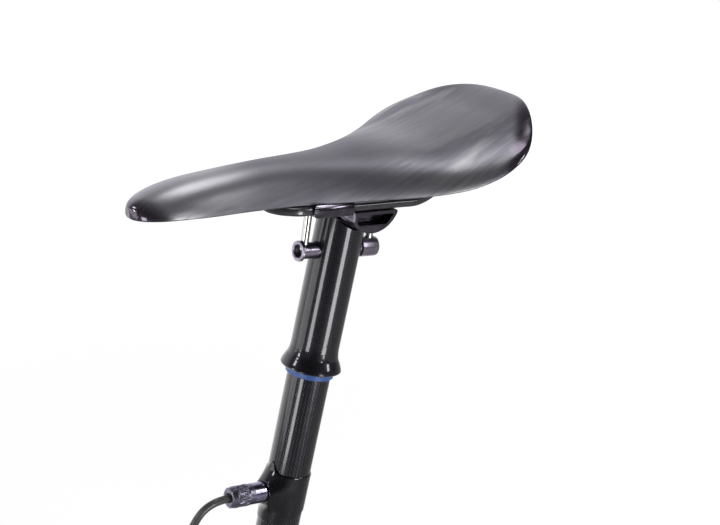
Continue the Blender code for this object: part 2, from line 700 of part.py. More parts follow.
def make_cross_tube(head):
    along = frame("cross_frame", head, (0, 0, 0), math.pi / 2)
    rear = -CROSS_BEHIND
    front = CROSS_AHEAD
    outline = [
        (CROSS_FLANGE - CROSS_EDGE, rear), (CROSS_FLANGE, rear + CROSS_EDGE),
        (CROSS_FLANGE, rear + CROSS_REAR_FLANGE), (CROSS_RADIUS, rear + CROSS_REAR_FLANGE + CROSS_TAPER),
        (CROSS_RADIUS, front - CROSS_FRONT_FLANGE - CROSS_TAPER), (CROSS_FLANGE, front - CROSS_FRONT_FLANGE),
        (CROSS_FLANGE, front - CROSS_EDGE), (CROSS_FLANGE - CROSS_EDGE, front),
        (CROSS_BORE + CROSS_EDGE, front), (CROSS_BORE, front - CROSS_EDGE),
        (CROSS_BORE, rear + CROSS_EDGE), (CROSS_BORE + CROSS_EDGE, rear),
    ]
    body = turned("cross_tube", outline, along, dark_metal("cross_tube_metal"), steps=24)
    for label, place in (("front", FRONT_BOLT_X), ("rear", REAR_BOLT_X)):
        hole = rod("cut_cross_%s_hole" % label, BOLT_HOLE, 0, 0.01, head, steps=20)
        hole.location = (place, 0, 0)
        subtract(body, hole)
        nut = rod(label + "_nut", CROSS_BORE - FIT, place - NUT_HALF, place + NUT_HALF, along,
                  dark_metal(label + "_nut_metal"))
        thread = rod("cut_%s_thread" % label, BOLT_HOLE, -0.01, 0.01, head, steps=20)
        thread.location = (place, 0, 0)
        subtract(nut, thread)


# Clamp


def arc(centre_x, centre_z, radius, start, end, count):
    angles = np.radians(np.linspace(start, end, count))
    return [(centre_x + radius * math.cos(a), centre_z + radius * math.sin(a)) for a in angles]


def cheek_outline(inset=0.0):
    """Half-moon outline of the cradle's cheek: a flat top, a round back and a rounded front corner."""
    top = CRADLE_TOP - inset
    radius = CHEEK_RADIUS - inset
    front = CRADLE_FRONT - inset
    corner = max(CHEEK_CORNER - inset, 0.001)
    drop = CHEEK_CENTRE_Z - top
    back = 180 + math.degrees(math.asin(drop / radius))
    foot = math.sqrt((radius - corner) ** 2 - (front - corner - CHEEK_CENTRE_X) ** 2)
    corner_x = front - corner
    corner_z = CHEEK_CENTRE_Z - foot
    turn = 360 - math.degrees(math.atan2(foot, corner_x - CHEEK_CENTRE_X))
    outline = arc(CHEEK_CENTRE_X, CHEEK_CENTRE_Z, radius, back, turn, 15)
    outline += arc(corner_x, corner_z, corner, turn, 360, 6)[1:]
    outline.append((front, top))
    return outline


def make_cradle(clamp):
    body = prism("lower_cradle", cheek_outline(), -CHEEK_OUTER, CHEEK_OUTER, clamp, dark_metal("cradle_metal"))
    rocker = SEAT_RADIUS - FIT
    reach = 0.03
    outline = [(rocker * math.cos(a), rocker * math.sin(a)) for a in np.radians(np.linspace(190, 350, 33))]
    outline += [(reach, outline[-1][1]), (reach, -reach), (-reach, -reach), (-reach, outline[0][1])]
    around = prism("cut_rocker", outline, -CHEEK_INNER, CHEEK_INNER, clamp, None)
    windows = []
    for side, label in ((1, "left"), (-1, "right")):
        low, high = sorted((side * (CHEEK_OUTER - WINDOW_DEPTH), side * (CHEEK_OUTER + 0.001)))
        windows.append(prism("cut_window_" + label, cheek_outline(WINDOW_INSET), low, high, clamp, None))
    pocket = prism("cut_pocket", box_outline(-0.03, 0.03, CRADLE_TOP - CRADLE_POCKET_DEPTH, CRADLE_TOP + 0.002),
                   -CRADLE_POCKET_HALF, CRADLE_POCKET_HALF, clamp, None)
    notch = prism("cut_notch", box_outline(-0.03, BOLT_NOTCH_X, -0.03, 0.002), -BOLT_NOTCH_HALF, BOLT_NOTCH_HALF, clamp, None)
    subtract(body, around, *windows, pocket, notch)


def yoke_outline(skirted):
    """Half section of a yoke over both rails, as (y, z) points, mirrored to the other side."""
    plate_low = RAIL_TOP + FIT
    plate_high = plate_low + JAW_PLATE
    fence_out = RAIL_INNER - FIT
    fence_in = fence_out - FENCE_WIDTH
    fence_low = plate_low - FENCE_DEPTH
    half = [(0, -JAW_BOSS_DEPTH), (JAW_BOSS_HALF, -JAW_BOSS_DEPTH), (JAW_BOSS_HALF, plate_low), (fence_in, plate_low),
            (fence_in, fence_low), (fence_out, fence_low), (fence_out, plate_low)]
    if skirted:
        skirt_in = RAIL_OUTER + FIT
        skirt_out = skirt_in + JAW_SKIRT
        lip_high = RAIL_FOOT - FIT
        lip_in = skirt_in - JAW_LIP_REACH
        half += [(skirt_in, plate_low), (skirt_in, lip_high), (lip_in, lip_high), (lip_in, lip_high - JAW_LIP),
                 (skirt_out, lip_high - JAW_LIP), (skirt_out, plate_high)]
    else:
        half += [(RAIL_OUTER, plate_low), (RAIL_OUTER, plate_high)]
    boss_high = WASHER_LEVEL + 0.0016
    half += [(JAW_BOSS_HALF + 0.002, plate_high), (JAW_BOSS_HALF, boss_high), (0, boss_high)]
    mirrored = [(-y, z) for y, z in half[::-1] if y > 0]
    return half + mirrored


def bolt_place(head_x):
    """Place along the rails, in the clamp frame, of a bolt at head_x in the head frame."""
    turn = HEAD_PITCH - CLAMP_PITCH
    return (head_x - SEAT_AHEAD - WASHER_LEVEL * math.sin(turn)) / math.cos(turn)


def make_yoke(name, rear, front, skirted, bolt_x, head, clamp):
    body = prism(name, yoke_outline(skirted), rear, front, clamp, dark_metal(name + "_metal"), "X")
    place = bolt_place(bolt_x)
    room = WASHER_RADIUS + WASHER_ROOM
    half = WASHER_HALF + 0.0005
    seat = arc(place, WASHER_LEVEL, room, 180, 360, 17) + [(place + room, 0.02), (place - room, 0.02)]
    recess = prism("cut_%s_recess" % name, seat, -half, half, clamp, None)
    hole = rod("cut_%s_hole" % name, BOLT_SLACK_HOLE, -0.02, 0.02, clamp, steps=20)
    hole.location = (place, 0, 0)
    subtract(body, recess, hole)
    bevel(body, 0.0004, 1)
    return body


def make_bolt(label, bolt_x, head):
    """A round washer, flat on top, and the bolt through it, both square to the cross tube."""
    turn = HEAD_PITCH - CLAMP_PITCH
    level = SEAT_ABOVE - bolt_place(bolt_x) * math.sin(turn) + WASHER_LEVEL * math.cos(turn)
    axis = frame(label + "_bolt_frame", head, (bolt_x, 0, 0), 0.0)
    washer = prism(label + "_washer", [(x, level + z) for x, z in arc(0, 0, WASHER_RADIUS, 180, 360, 15)],
                   -WASHER_HALF, WASHER_HALF, axis, bright_steel(label + "_washer_steel"))
    subtract(washer, rod("cut_%s_washer_hole" % label, BOLT_HOLE, level - 0.01, level + 0.01, axis, steps=20))
    under = level + FIT
    top = under + HEAD_LENGTH
    edge = 0.0004
    outline = [(0, BOLT_START), (BOLT_RADIUS - edge, BOLT_START), (BOLT_RADIUS, BOLT_START + edge), (BOLT_RADIUS, under),
               (HEAD_RADIUS, under), (HEAD_RADIUS, top - edge), (HEAD_RADIUS - edge, top), (0, top)]
    body = turned(label + "_bolt", outline, axis, bright_steel(label + "_bolt_steel"), False, 20)
    socket = rod("cut_%s_socket" % label, SOCKET_RADIUS, top - SOCKET_DEPTH, top + 0.002, axis, steps=6)
    subtract(body, socket)


# Saddle


def shell_section(x, grown=0.0):
    """Half width, crown height and skirt level of the shell at a distance x from its tail.

    A negative grown gives the same for a surface that lies that far inside."""
    share = x / SHELL_LENGTH
    tail = np.clip(1 - (1 - np.clip(x / TAIL_END, 0, 1)) ** TAIL_POWER, 0, 1) ** (1 / TAIL_POWER)
    nose_gap = np.clip((SHELL_LENGTH - x) / NOSE_END, 0, 1)
    nose = np.clip(1 - (1 - nose_gap) ** NOSE_POWER, 0, 1) ** (1 / NOSE_POWER)
    half = float(smooth_through(SHELL_SHARES, SHELL_HALF_WIDTHS, share)) * tail * nose
    spine = float(smooth_through(CROWN_SHARES, CROWN_HEIGHTS, share))
    crown = spine - TAIL_DROP * (1 - tail) - NOSE_DROP * (1 - nose) + grown
    skirt = min(spine - float(smooth_through(SKIRT_SHARES, SKIRT_DEPTHS, share)), crown - 0.0005)
    return half + grown, crown, skirt


def section_point(x, turn, section):
    """A point on the arch of a section; turn runs from -1 at the right rim to 1 at the left one."""
    half, crown, skirt = section
    angle = turn * math.pi / 2
    across = math.copysign(abs(math.sin(angle)) ** (2 / SIDE_POWER), angle)
    rise = abs(math.cos(angle)) ** (2 / CROWN_POWER)
    return (x, half * across, skirt + (crown - skirt) * rise)


def make_shell(saddle):
    stations = SHELL_LENGTH * (0.5 - 0.5 * np.cos(np.linspace(0.06, math.pi - 0.09, 32)))
    turns = np.sin(np.linspace(-math.pi / 2, math.pi / 2, 17))
    bm = bmesh.new()
    outer = []
    inner = []
    for x in stations:
        section = shell_section(x)
        outer.append([bm.verts.new(section_point(x, turn, section)) for turn in turns])
        inside = SHELL_WALL + x * (SHELL_LENGTH - 2 * SHELL_WALL) / SHELL_LENGTH
        lining = shell_section(inside, -SHELL_WALL)
        inner.append([bm.verts.new(section_point(inside, turn, lining)) for turn in turns])
    for grid in (outer, inner):
        for row, following in zip(grid[:-1], grid[1:]):
            for i in range(len(turns) - 1):
                bm.faces.new((row[i], row[i + 1], following[i + 1], following[i]))
        bm.faces.new(grid[0])
        bm.faces.new(grid[-1])
    rim_out = [row[0] for row in outer] + [row[-1] for row in outer[::-1]]
    rim_in = [row[0] for row in inner] + [row[-1] for row in inner[::-1]]
    for i in range(len(rim_out)):
        j = (i + 1) % len(rim_out)
        bm.faces.new((rim_out[i], rim_out[j], rim_in[j], rim_in[i]))
    finish_mesh("saddle_shell", bm, saddle, material("shell_silver", (0.42, 0.41, 0.44), 0.32, 0.6))


def rail_path(side):
    straight_front, straight_rear = RAIL_CLAMPED_PATH
    nose = curve_through([*RAIL_NOSE_PATH, straight_front, Vector(straight_front).lerp(Vector(straight_rear), 0.1)], 0.006)
    tail = curve_through([Vector(straight_rear).lerp(Vector(straight_front), 0.1), straight_rear, *RAIL_TAIL_PATH], 0.006)
    cut_nose = [point for point in nose if point.x > straight_front[0] - 1e-6]
    cut_tail = [point for point in tail if point.x < straight_rear[0] + 1e-6]
    middle = [Vector(straight_front), Vector(straight_rear)]
    chain = [p for p in cut_nose if (p - middle[0]).length > 0.002] + middle
    chain += [p for p in cut_tail if (p - middle[1]).length > 0.002]
    return [Vector((point.x, side * point.y, point.z)) for point in chain]


def rail_ring(centre, forward, grown):
    """Rounded rectangle square to the rail's direction."""
    side = Vector((0, 0, 1)).cross(forward).normalized()
    up = forward.cross(side).normalized()
    half_width = RAIL_WIDTH / 2 + grown
    half_height = RAIL_HEIGHT / 2 + grown
    ring = []
    for corner_x, corner_z, start in ((1, 1, 0), (-1, 1, 90), (-1, -1, 180), (1, -1, 270)):
        for step in (0, 45, 90):
            angle = math.radians(start + step)
            across = corner_x * (half_width - RAIL_CORNER) + RAIL_CORNER * math.cos(angle)
            rise = corner_z * (half_height - RAIL_CORNER) + RAIL_CORNER * math.sin(angle)
            ring.append(centre + side * across + up * rise)
    return ring


def make_rail(name, side, clamp, mat, grown=0.0):
    path = rail_path(side)
    path[0] += grown * (path[0] - path[1]).normalized()
    path[-1] += grown * (path[-1] - path[-2]).normalized()
    rings = []
    for i, point in enumerate(path):
        before = path[max(i - 1, 0)]
        after = path[min(i + 1, len(path) - 1)]
        rings.append(rail_ring(point, (before - after).normalized(), grown))
    return loft(name, rings, clamp, mat)


def make_sockets(saddle, cutters):
    inset = SHELL_WALL + SOCKET_GLUE
    rings = []
    for x in np.linspace(NOSE_SOCKET_REAR, NOSE_SOCKET_REAR + NOSE_SOCKET_LENGTH, 4):
        half, crown, skirt = shell_section(x, -inset)
        share = (NOSE_SOCKET_BASE - skirt) / (crown - skirt)
        narrowed = half * (1 - max(share, 0.0) ** CROWN_POWER) ** (1 / SIDE_POWER)
        section = (narrowed, crown, NOSE_SOCKET_BASE)
        rings.append([section_point(x, turn, section) for turn in np.linspace(-0.97, 0.97, 13)])
    nose = loft("nose_socket", rings, saddle, carbon("nose_socket_carbon"))
    subtract(nose, *cutters)
    for side, label, cutter in ((1, "left", cutters[0]), (-1, "right", cutters[1])):
        rings = []
        for x in np.linspace(REAR_SOCKET_X - REAR_SOCKET_LENGTH / 2, REAR_SOCKET_X + REAR_SOCKET_LENGTH / 2, 4):
            section = shell_section(x, -inset)
            ring = []
            for share in np.linspace(-0.5, 0.5, 5):
                y = REAR_SOCKET_Y + share * REAR_SOCKET_WIDTH
                ring.append((x, side * y, lining_height(y, section)))
            ring += [(x, side * (REAR_SOCKET_Y + share * REAR_SOCKET_WIDTH), REAR_SOCKET_BASE) for share in (0.5, 0, -0.5)]
            rings.append(ring)
        socket = loft("%s_rear_socket" % label, rings, saddle, carbon(label + "_socket_carbon"))
        subtract(socket, cutter)


def lining_height(y, section):
    """Height of a section's arch at a distance y from the middle."""
    half, crown, skirt = section
    return skirt + (crown - skirt) * (1 - (abs(y) / half) ** SIDE_POWER) ** (1 / CROWN_POWER)


# Cable housing and its stored coil


def coil_radius(turn):
    """Radius of the spiral: in a step each turn, and out again after the half turn in the middle."""
    inward = COIL_TURNS / 2 - 0.25
    if turn < inward:
        return COIL_OUTER - COIL_STEP * turn
    if turn > inward + 0.5:
        return COIL_OUTER - COIL_STEP * (COIL_TURNS - turn)
    climb = (turn - inward) / 0.5
    return COIL_OUTER - COIL_STEP * (inward + math.sin(math.pi * climb) / (2 * math.pi))


def coil_side(turn):
    """Distance from the middle plane: one layer, a climb in the middle half turn, the other layer."""
    climb = min(max((turn - (COIL_TURNS / 2 - 0.25)) / 0.5, 0.0), 1.0)
    return COIL_STEP * (climb * climb * (3 - 2 * climb) - 0.5)


def coil_points():
    points = []
    count = round(COIL_TURNS * 24)
    for i in range(count + 1):
        turn = COIL_TURNS * i / count
        angle = COIL_START - 2 * math.pi * turn
        ahead = COIL_AHEAD + coil_radius(turn) * math.cos(angle)
        level = COIL_LEVEL + coil_radius(turn) * math.sin(angle)
        points.append(Vector((ahead, coil_side(turn), level)))
    straight = 2 * HOUSING_RADIUS
    back = Vector((-math.sin(COIL_START), 0, math.cos(COIL_START)))
    return [points[0] + straight * back] + points + [points[-1] + Vector((0, 0, straight))]


def make_cable(post):
    rubber = material("housing_rubber", (0.06, 0.058, 0.05), 0.38)
    coil = coil_points()
    print("least gap in the coil, mm:", round(1000 * least_gap(coil, HOUSING_RADIUS, 6), 3))
    lean = Matrix.Rotation(-POST_LEAN, 4, "Y")
    back = (coil[0] - coil[1]).normalized()
    meeting = lean @ (coil[0] + FIT * back)
    straight = lean @ (coil[0] + 2 * HOUSING_RADIUS * back)
    route = curve_through([*HOUSING_ROUTE, straight], 0.0095) + [meeting]
    tube("cable_housing", route, HOUSING_RADIUS, None, rubber, 2)
    tube("housing_coil", coil, HOUSING_RADIUS, post, rubber.copy(), 1)

    end = frame("housing_end_frame", post, coil[-2] + Vector((0, 0, FIT)), 0.0)
    bore = HOUSING_RADIUS + FIT
    depth = 2 * HOUSING_RADIUS + FIT
    outline = [(END_FERRULE_RADIUS, 0), (END_FERRULE_RADIUS, depth + 0.002), (bore - 0.0005, depth + 0.003),
               (bore - 0.0005, END_FERRULE_LENGTH), (WIRE_RADIUS + FIT, END_FERRULE_LENGTH),
               (WIRE_RADIUS + FIT, depth), (bore, depth), (bore, 0)]
    turned("end_ferrule", outline, end, bright_steel("end_ferrule_metal"), steps=20)
    reach = END_FERRULE_LENGTH + WIRE_TAIL_LENGTH
    low = depth + FIT
    outline = [(0, low), (WIRE_RADIUS, low), (WIRE_RADIUS, reach - NIPPLE_LENGTH), (NIPPLE_RADIUS, reach - NIPPLE_LENGTH),
               (NIPPLE_RADIUS, reach), (0, reach)]
    turned("wire_tail", outline, end, bright_steel("wire_tail_steel"), False, 12)


def make_tie(post):
    """A band round the mast and the coil's turns that lie against it."""
    rings = []
    for extra in (FIT, FIT + TIE_THICKNESS):
        mast = TUBE_RADIUS + extra
        bundle = TIE_ROUND_RADIUS + extra
        tangent = math.degrees(math.acos((mast - bundle) / TIE_ROUND_AHEAD))
        outline = arc(0, 0, mast, tangent, 360 - tangent, 21)
        outline += arc(TIE_ROUND_AHEAD, 0, bundle, -tangent, tangent, 11)
        rings.append(outline)
    low = COIL_LEVEL - TIE_WIDTH / 2
    high = COIL_LEVEL + TIE_WIDTH / 2
    bm = bmesh.new()
    rows = []
    for outline, level in ((rings[0], low), (rings[1], low), (rings[1], high), (rings[0], high)):
        rows.append([bm.verts.new((x, y, level)) for x, y in outline])
    for row, following in zip(rows, rows[1:] + rows[:1]):
        for i in range(len(row)):
            j = (i + 1) % len(row)
            bm.faces.new((row[i], row[j], following[j], following[i]))
    finish_mesh("coil_tie", bm, post, material("tie_webbing", (0.03, 0.03, 0.032), 0.8))


def main():
    clear_scene()
    post = frame("post_frame", None, (0, 0, 0), -POST_LEAN)
    head = frame("head_frame", post, (0, 0, HEAD_LEVEL), POST_LEAN - HEAD_PITCH)
    clamp = frame("clamp_frame", head, (SEAT_AHEAD, 0, SEAT_ABOVE), HEAD_PITCH - CLAMP_PITCH)
    saddle = frame("saddle_frame", clamp, (-TAIL_BEHIND, 0, TAIL_ABOVE), CLAMP_PITCH - SADDLE_PITCH)
    boss = frame("boss_frame", post, (0, 0, BOSS_LEVEL), math.pi / 2 + POST_LEAN - BOSS_PITCH)

    make_mast_tube(post, boss)
    make_foot(post)
    make_lug(post, boss)
    make_bushes(post, boss)
    make_ferrule(boss)
    make_adjuster(boss)
    make_lock(boss)
    make_guide_tube(post, boss)
    make_outer_tube(post, head)
    make_cross_tube(head)
    make_cradle(clamp)
    make_yoke("front_yoke", JAW_REAR, JAW_FRONT, True, FRONT_BOLT_X, head, clamp)
    make_yoke("rear_yoke", CAP_REAR, CAP_FRONT, False, REAR_BOLT_X, head, clamp)
    make_bolt("front", FRONT_BOLT_X, head)
    make_bolt("rear", REAR_BOLT_X, head)
    make_shell(saddle)
    cutters = []
    for side, label in ((1, "left"), (-1, "right")):
        make_rail(label + "_rail", side, clamp, carbon(label + "_rail_carbon"))
        cutters.append(make_rail("cut_%s_rail" % label, side, clamp, None, FIT))
    make_sockets(saddle, cutters)
    make_cable(post)
    make_tie(post)


main()
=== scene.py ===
"""Finish, light and camera for the saddle and its telescopic seat post. Lengths are in metres."""
import json
import math

import bmesh
import bpy
import numpy as np
from mathutils import Matrix, Vector


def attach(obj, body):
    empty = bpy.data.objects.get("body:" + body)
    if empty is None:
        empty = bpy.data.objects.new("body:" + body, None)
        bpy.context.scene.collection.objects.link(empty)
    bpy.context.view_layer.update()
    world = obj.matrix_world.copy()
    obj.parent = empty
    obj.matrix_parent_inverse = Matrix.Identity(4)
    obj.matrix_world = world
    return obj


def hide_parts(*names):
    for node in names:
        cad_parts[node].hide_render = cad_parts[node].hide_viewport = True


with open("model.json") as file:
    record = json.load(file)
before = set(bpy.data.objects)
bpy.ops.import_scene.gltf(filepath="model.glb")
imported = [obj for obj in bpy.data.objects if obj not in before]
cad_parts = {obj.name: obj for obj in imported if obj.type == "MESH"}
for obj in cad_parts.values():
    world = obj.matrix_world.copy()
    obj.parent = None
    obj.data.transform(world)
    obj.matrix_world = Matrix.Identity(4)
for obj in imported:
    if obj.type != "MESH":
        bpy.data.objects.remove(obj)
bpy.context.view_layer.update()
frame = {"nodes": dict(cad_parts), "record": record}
nodes = frame["nodes"]

# Camera
CAMERA_PLACE = (0.3560, 0.6112, 0.6193)
CAMERA_AZIMUTH = math.radians(36.72)
CAMERA_ELEVATION = math.radians(23.05)
CAMERA_LENS = 67.5
SENSOR_WIDTH = 36.0

# Angles and places shared with the construction
POST_LEAN = math.radians(14.75)
HEAD_PITCH = math.radians(10.2)
CLAMP_PITCH = math.radians(8.4)
SADDLE_PITCH = math.radians(1.67)
BOSS_PITCH = math.radians(10.9)
BOSS_LEVEL = 0.1612
HEAD_LEVEL = 0.3194
SEAT_AHEAD = -0.0045
SEAT_ABOVE = 0.0340
TAIL_BEHIND = 0.1159
TAIL_ABOVE = 0.0456

# Mast and cable boss
TUBE_RADIUS = 0.0136
TUBE_WALL = 0.0016
MAST_FOOT = 0.0033
STANCHION_TOP = 0.2520
LUG_LOW = 0.1459
LUG_TOP = 0.1745
LUG_RADIUS = 0.0143
LUG_OVERLAP = 0.0001
LUG_LOW_SLOPE = 0.0055
LUG_TOP_RISE = 0.0062
LUG_LOW_SHARPNESS = 55
LUG_TOP_SHARPNESS = 22
BOSS_RIM = 0.0079
BOSS_FACE = 0.0172
BOSS_BORE_DEPTH = 0.008
BOSS_REACH = 0.0142
BOSS_REACH_UP = 0.0052
FERRULE_RADIUS = 0.00655
FERRULE_BORE = 0.0035
FERRULE_WIDE_BORE = 0.0047
FERRULE_SEAT = 0.0023
FERRULE_END = 0.0255
FERRULE_CAP = 0.0018
FERRULE_CROWN = 0.00025
ADJUSTER_RADIUS = 0.0068
ADJUSTER_START = 0.0258
ADJUSTER_LENGTH = 0.0164
ADJUSTER_BAND = 0.0033
ADJUSTER_SHOULDER = 0.0033
ADJUSTER_SPIGOT = 0.0032
ADJUSTER_SPIGOT_LENGTH = 0.0013
ADJUSTER_MOUTH_DEPTH = 0.0043
KNURL_LOW = ADJUSTER_START + ADJUSTER_SHOULDER + 0.0005
KNURL_HIGH = ADJUSTER_START + ADJUSTER_LENGTH - ADJUSTER_BAND - 0.0003
KNURL_FLUTES = 12
KNURL_DEPTH = 0.00055
WIRE_BORE = 0.0012

# Upper post
WIPER_LOW = 0.2389
WIPER_RADIUS = 0.01505
WIPER_GAP = 0.00022
WIPER_SPIGOT = 0.01455
WIPER_SPIGOT_HEIGHT = 0.0012
COLLAR_LOW = 0.2414
COLLAR_BORE = 0.0149
COLLAR_LIFT = 0.0012
COLLAR_WIDEST = 0.0044
COLLAR_BULGE = 0.00395
COLLAR_HEIGHTS = (0, 0.0003, 0.0010, 0.0020, COLLAR_WIDEST, 0.0075, 0.0105, 0.0152)
COLLAR_SHARES = (0.10, 0.45, 0.86, 1.0, 0.88, 0.54, 0.2, 0)
BUSH_SEAT = 0.012
OUTER_RADIUS = 0.0151
OUTER_WALL = 0.0012
OUTER_TOP = 0.3411
SEAT_RADIUS = 0.0185
CROSS_AHEAD = 0.0279
CROSS_BEHIND = 0.0293
CROSS_RADIUS = 0.005
CROSS_BORE = 0.0039
CROSS_FLANGE = 0.0063
CROSS_HOLE = 0.0028
REAR_FLANGE_LENGTH = 0.0122
REAR_FLANGE_SLOPE = 0.0006
FRONT_FLANGE_LENGTH = 0.0016
FRONT_FLANGE_SLOPE = 0.001
NUT_HALF = 0.0032
NUT_FRONT = 0.0006

# Bolts and washers
FRONT_BOLT_X = 0.0236
REAR_BOLT_X = -0.0245
BOLT_RADIUS = 0.00245
BOLT_FOOT = 0.0005
HEAD_RADIUS = 0.00425
HEAD_HEIGHT = 0.005
KEY_RADIUS = 0.0023
KEY_DEPTH = 0.0026
WASHER_RADIUS = 0.0047
WASHER_HALF = 0.0044
WASHER_LEVEL = 0.0025
WASHER_BORE = 0.0028
WASHER_ROOM = 0.00065
WASHER_SIDE_ROOM = 0.0005
WASHER_EDGE = 0.0003

# Clearances, and how far cutters stand out
GAP = 0.0003
OVER = 0.002
REACH = 0.03

# Saddle shell
SHELL_LENGTH = 0.2666
SHELL_WALL = 0.0024
SHELL_LIP = 0.0009
SHELL_SECTIONS = 150
SECTION_POINTS = 81
LIP_POINTS = 9
TAIL_END = 0.0644
TAIL_POWER = 2.05
TAIL_DROP = 0.0114
NOSE_END = 0.0478
NOSE_POWER = 2.2
NOSE_DROP = 0.0092
SIDE_POWER = 2.14
CROWN_POWER = 1.94
SHELL_SHARES = (0, 0.12, 0.25, 0.40, 0.55, 0.70, 0.85, 1)
SHELL_HALF_WIDTHS = (0.0527, 0.0703, 0.0625, 0.0431, 0.0263, 0.0199, 0.0195, 0.0238)
CROWN_SHARES = (0, 0.12, 0.3, 0.5, 0.7, 0.88, 1)
CROWN_HEIGHTS = (0.0248, 0.0094, -0.0009, -0.0018, -0.0002, -0.0013, -0.0037)
SKIRT_LEAST = 0.006
SKIRT_SHARES = (0, 0.15, 0.4, 0.6, 0.8, 1)
SKIRT_DEPTHS = (-0.0049, 0.0121, 0.0221, 0.0224, 0.0188, 0.0120)

# Rails and clamp
RAIL_GAUGE = 0.022
RAIL_WIDTH = 0.0066
RAIL_HEIGHT = 0.0050
RAIL_LEVEL = -0.0006
RAIL_CORNER = 0.0017
RAIL_PATH = (
    (0.098, 0.0080, 0.0096), (0.090, 0.0084, 0.0090), (0.082, 0.0094, 0.0074), (0.075, 0.0108, 0.0048),
    (0.070, 0.0122, 0.0022), (0.066, 0.0138, 0.0002), (0.061, 0.0166, -0.0007), (0.057, 0.0192, -0.0007),
    (0.053, 0.0212, -0.0006),
    *((x, RAIL_GAUGE, RAIL_LEVEL) for x in (0.0485, 0.038, 0.020, 0.0, -0.020, -0.031)),
    (-0.0365, 0.0222, 0.0006), (-0.0408, 0.0226, 0.0025), (-0.0448, 0.0232, 0.0054),
    (-0.052, 0.0246, 0.0130), (-0.060, 0.0266, 0.0220), (-0.068, 0.0284, 0.0300), (-0.076, 0.0296, 0.0360),
    (-0.083, 0.0300, 0.0395),
)
CRADLE_TOP = -0.0034
CRADLE_FRONT = 0.0135
CHEEK_RADIUS = 0.0187
CHEEK_X = -0.0004
CHEEK_Z = 0.0017
CHEEK_INNER = 0.0155
CHEEK_OUTER = 0.0256
CHEEK_CORNER = 0.0045
CHEEK_TIP = 0.0022
CHEEK_TIP_TURN = 8
WINDOW_INSET = 0.0021
WINDOW_DEPTH = 0.0080
WINDOW_FLOOR = -0.0118
CHANNEL_DEPTH = 0.0028
CHANNEL_HALF = 0.0172
NOTCH_FRONT = -0.0152
NOTCH_HALF = 0.0037
FRONT_YOKE = (0.0158, 0.0440)
REAR_YOKE = (-0.0255, -0.0135)
YOKE_PLATE = 0.0011
YOKE_LIP = 0.001
YOKE_LIP_REACH = 0.003
YOKE_BOSS = 0.0072
YOKE_FOOT = -0.0052
YOKE_CROWN = 0.0016
FENCE_WALL = 0.0013
FENCE_DEPTH = 0.0022
SKIRT_WALL = 0.0014
SKIRT_BULGE = 0.0011
YOKE_HOLE = 0.0036
YOKE_LOW_ROUNDING = 0.0034
YOKE_TOP_ROUNDING = 0.0024
CRADLE_EDGE = 0.0008
YOKE_EDGE = 0.0006

# Cable
HOUSING_RADIUS = 0.0025
HOUSING_STEP = 0.0015
HOUSING_ROUTE = (
    (-0.0010, 0.0, 0.1636), (0.0049, 0.0, 0.1641), (0.0109, 0.0, 0.1640), (0.0168, -0.0001, 0.1622),
    (0.0217, -0.0002, 0.1585), (0.0257, -0.0004, 0.1533), (0.0300, -0.0007, 0.1470),
    (0.0352, -0.0011, 0.1404), (0.0404, -0.0016, 0.1333),
)
COIL_LEVEL = 0.084
COIL_AHEAD = 0.0508
COIL_OUTER = 0.0335
COIL_STEP = 0.0055
COIL_START = math.radians(20)
COIL_TURNS = 5.5 + COIL_START / (2 * math.pi)
COIL_CLIMB = 0.5
COIL_POINTS_PER_TURN = 72


def tilt(angle):
    return Matrix.Rotation(angle, 4, "Y")


def shift(x, z):
    return Matrix.Translation((x, 0, z))


POST = tilt(-POST_LEAN)
HEAD = POST @ shift(0, HEAD_LEVEL) @ tilt(POST_LEAN - HEAD_PITCH)
SEAT = HEAD @ shift(SEAT_AHEAD, SEAT_ABOVE)
CLAMP = SEAT @ tilt(HEAD_PITCH - CLAMP_PITCH)
SADDLE = CLAMP @ shift(-TAIL_BEHIND, TAIL_ABOVE) @ tilt(CLAMP_PITCH - SADDLE_PITCH)
BOSS_TURN = tilt(math.pi / 2 + POST_LEAN - BOSS_PITCH)
BOSS = POST @ shift(0, BOSS_LEVEL) @ BOSS_TURN
CROSS = HEAD @ tilt(math.pi / 2)


def link(name, data):
    thing = bpy.data.objects.new(name, data)
    bpy.context.scene.collection.objects.link(thing)
    return thing


def aimed(name, data, place, back):
    """Links a camera or a lamp that stands at a place and looks away from back."""
    thing = link(name, data)
    thing.location = place
    thing.rotation_mode = "QUATERNION"
    thing.rotation_quaternion = (-back).to_track_quat("-Z", "Y")
    return thing


def make_camera():
    data = bpy.data.cameras.new("camera")
    data.lens = CAMERA_LENS
    data.sensor_width = SENSOR_WIDTH
    data.clip_start = 0.01
    flat = math.cos(CAMERA_ELEVATION)
    back = Vector((flat * math.sin(CAMERA_AZIMUTH), flat * math.cos(CAMERA_AZIMUTH),
                   math.sin(CAMERA_ELEVATION)))
    bpy.context.scene.camera = aimed("camera", data, CAMERA_PLACE, back)


# Materials


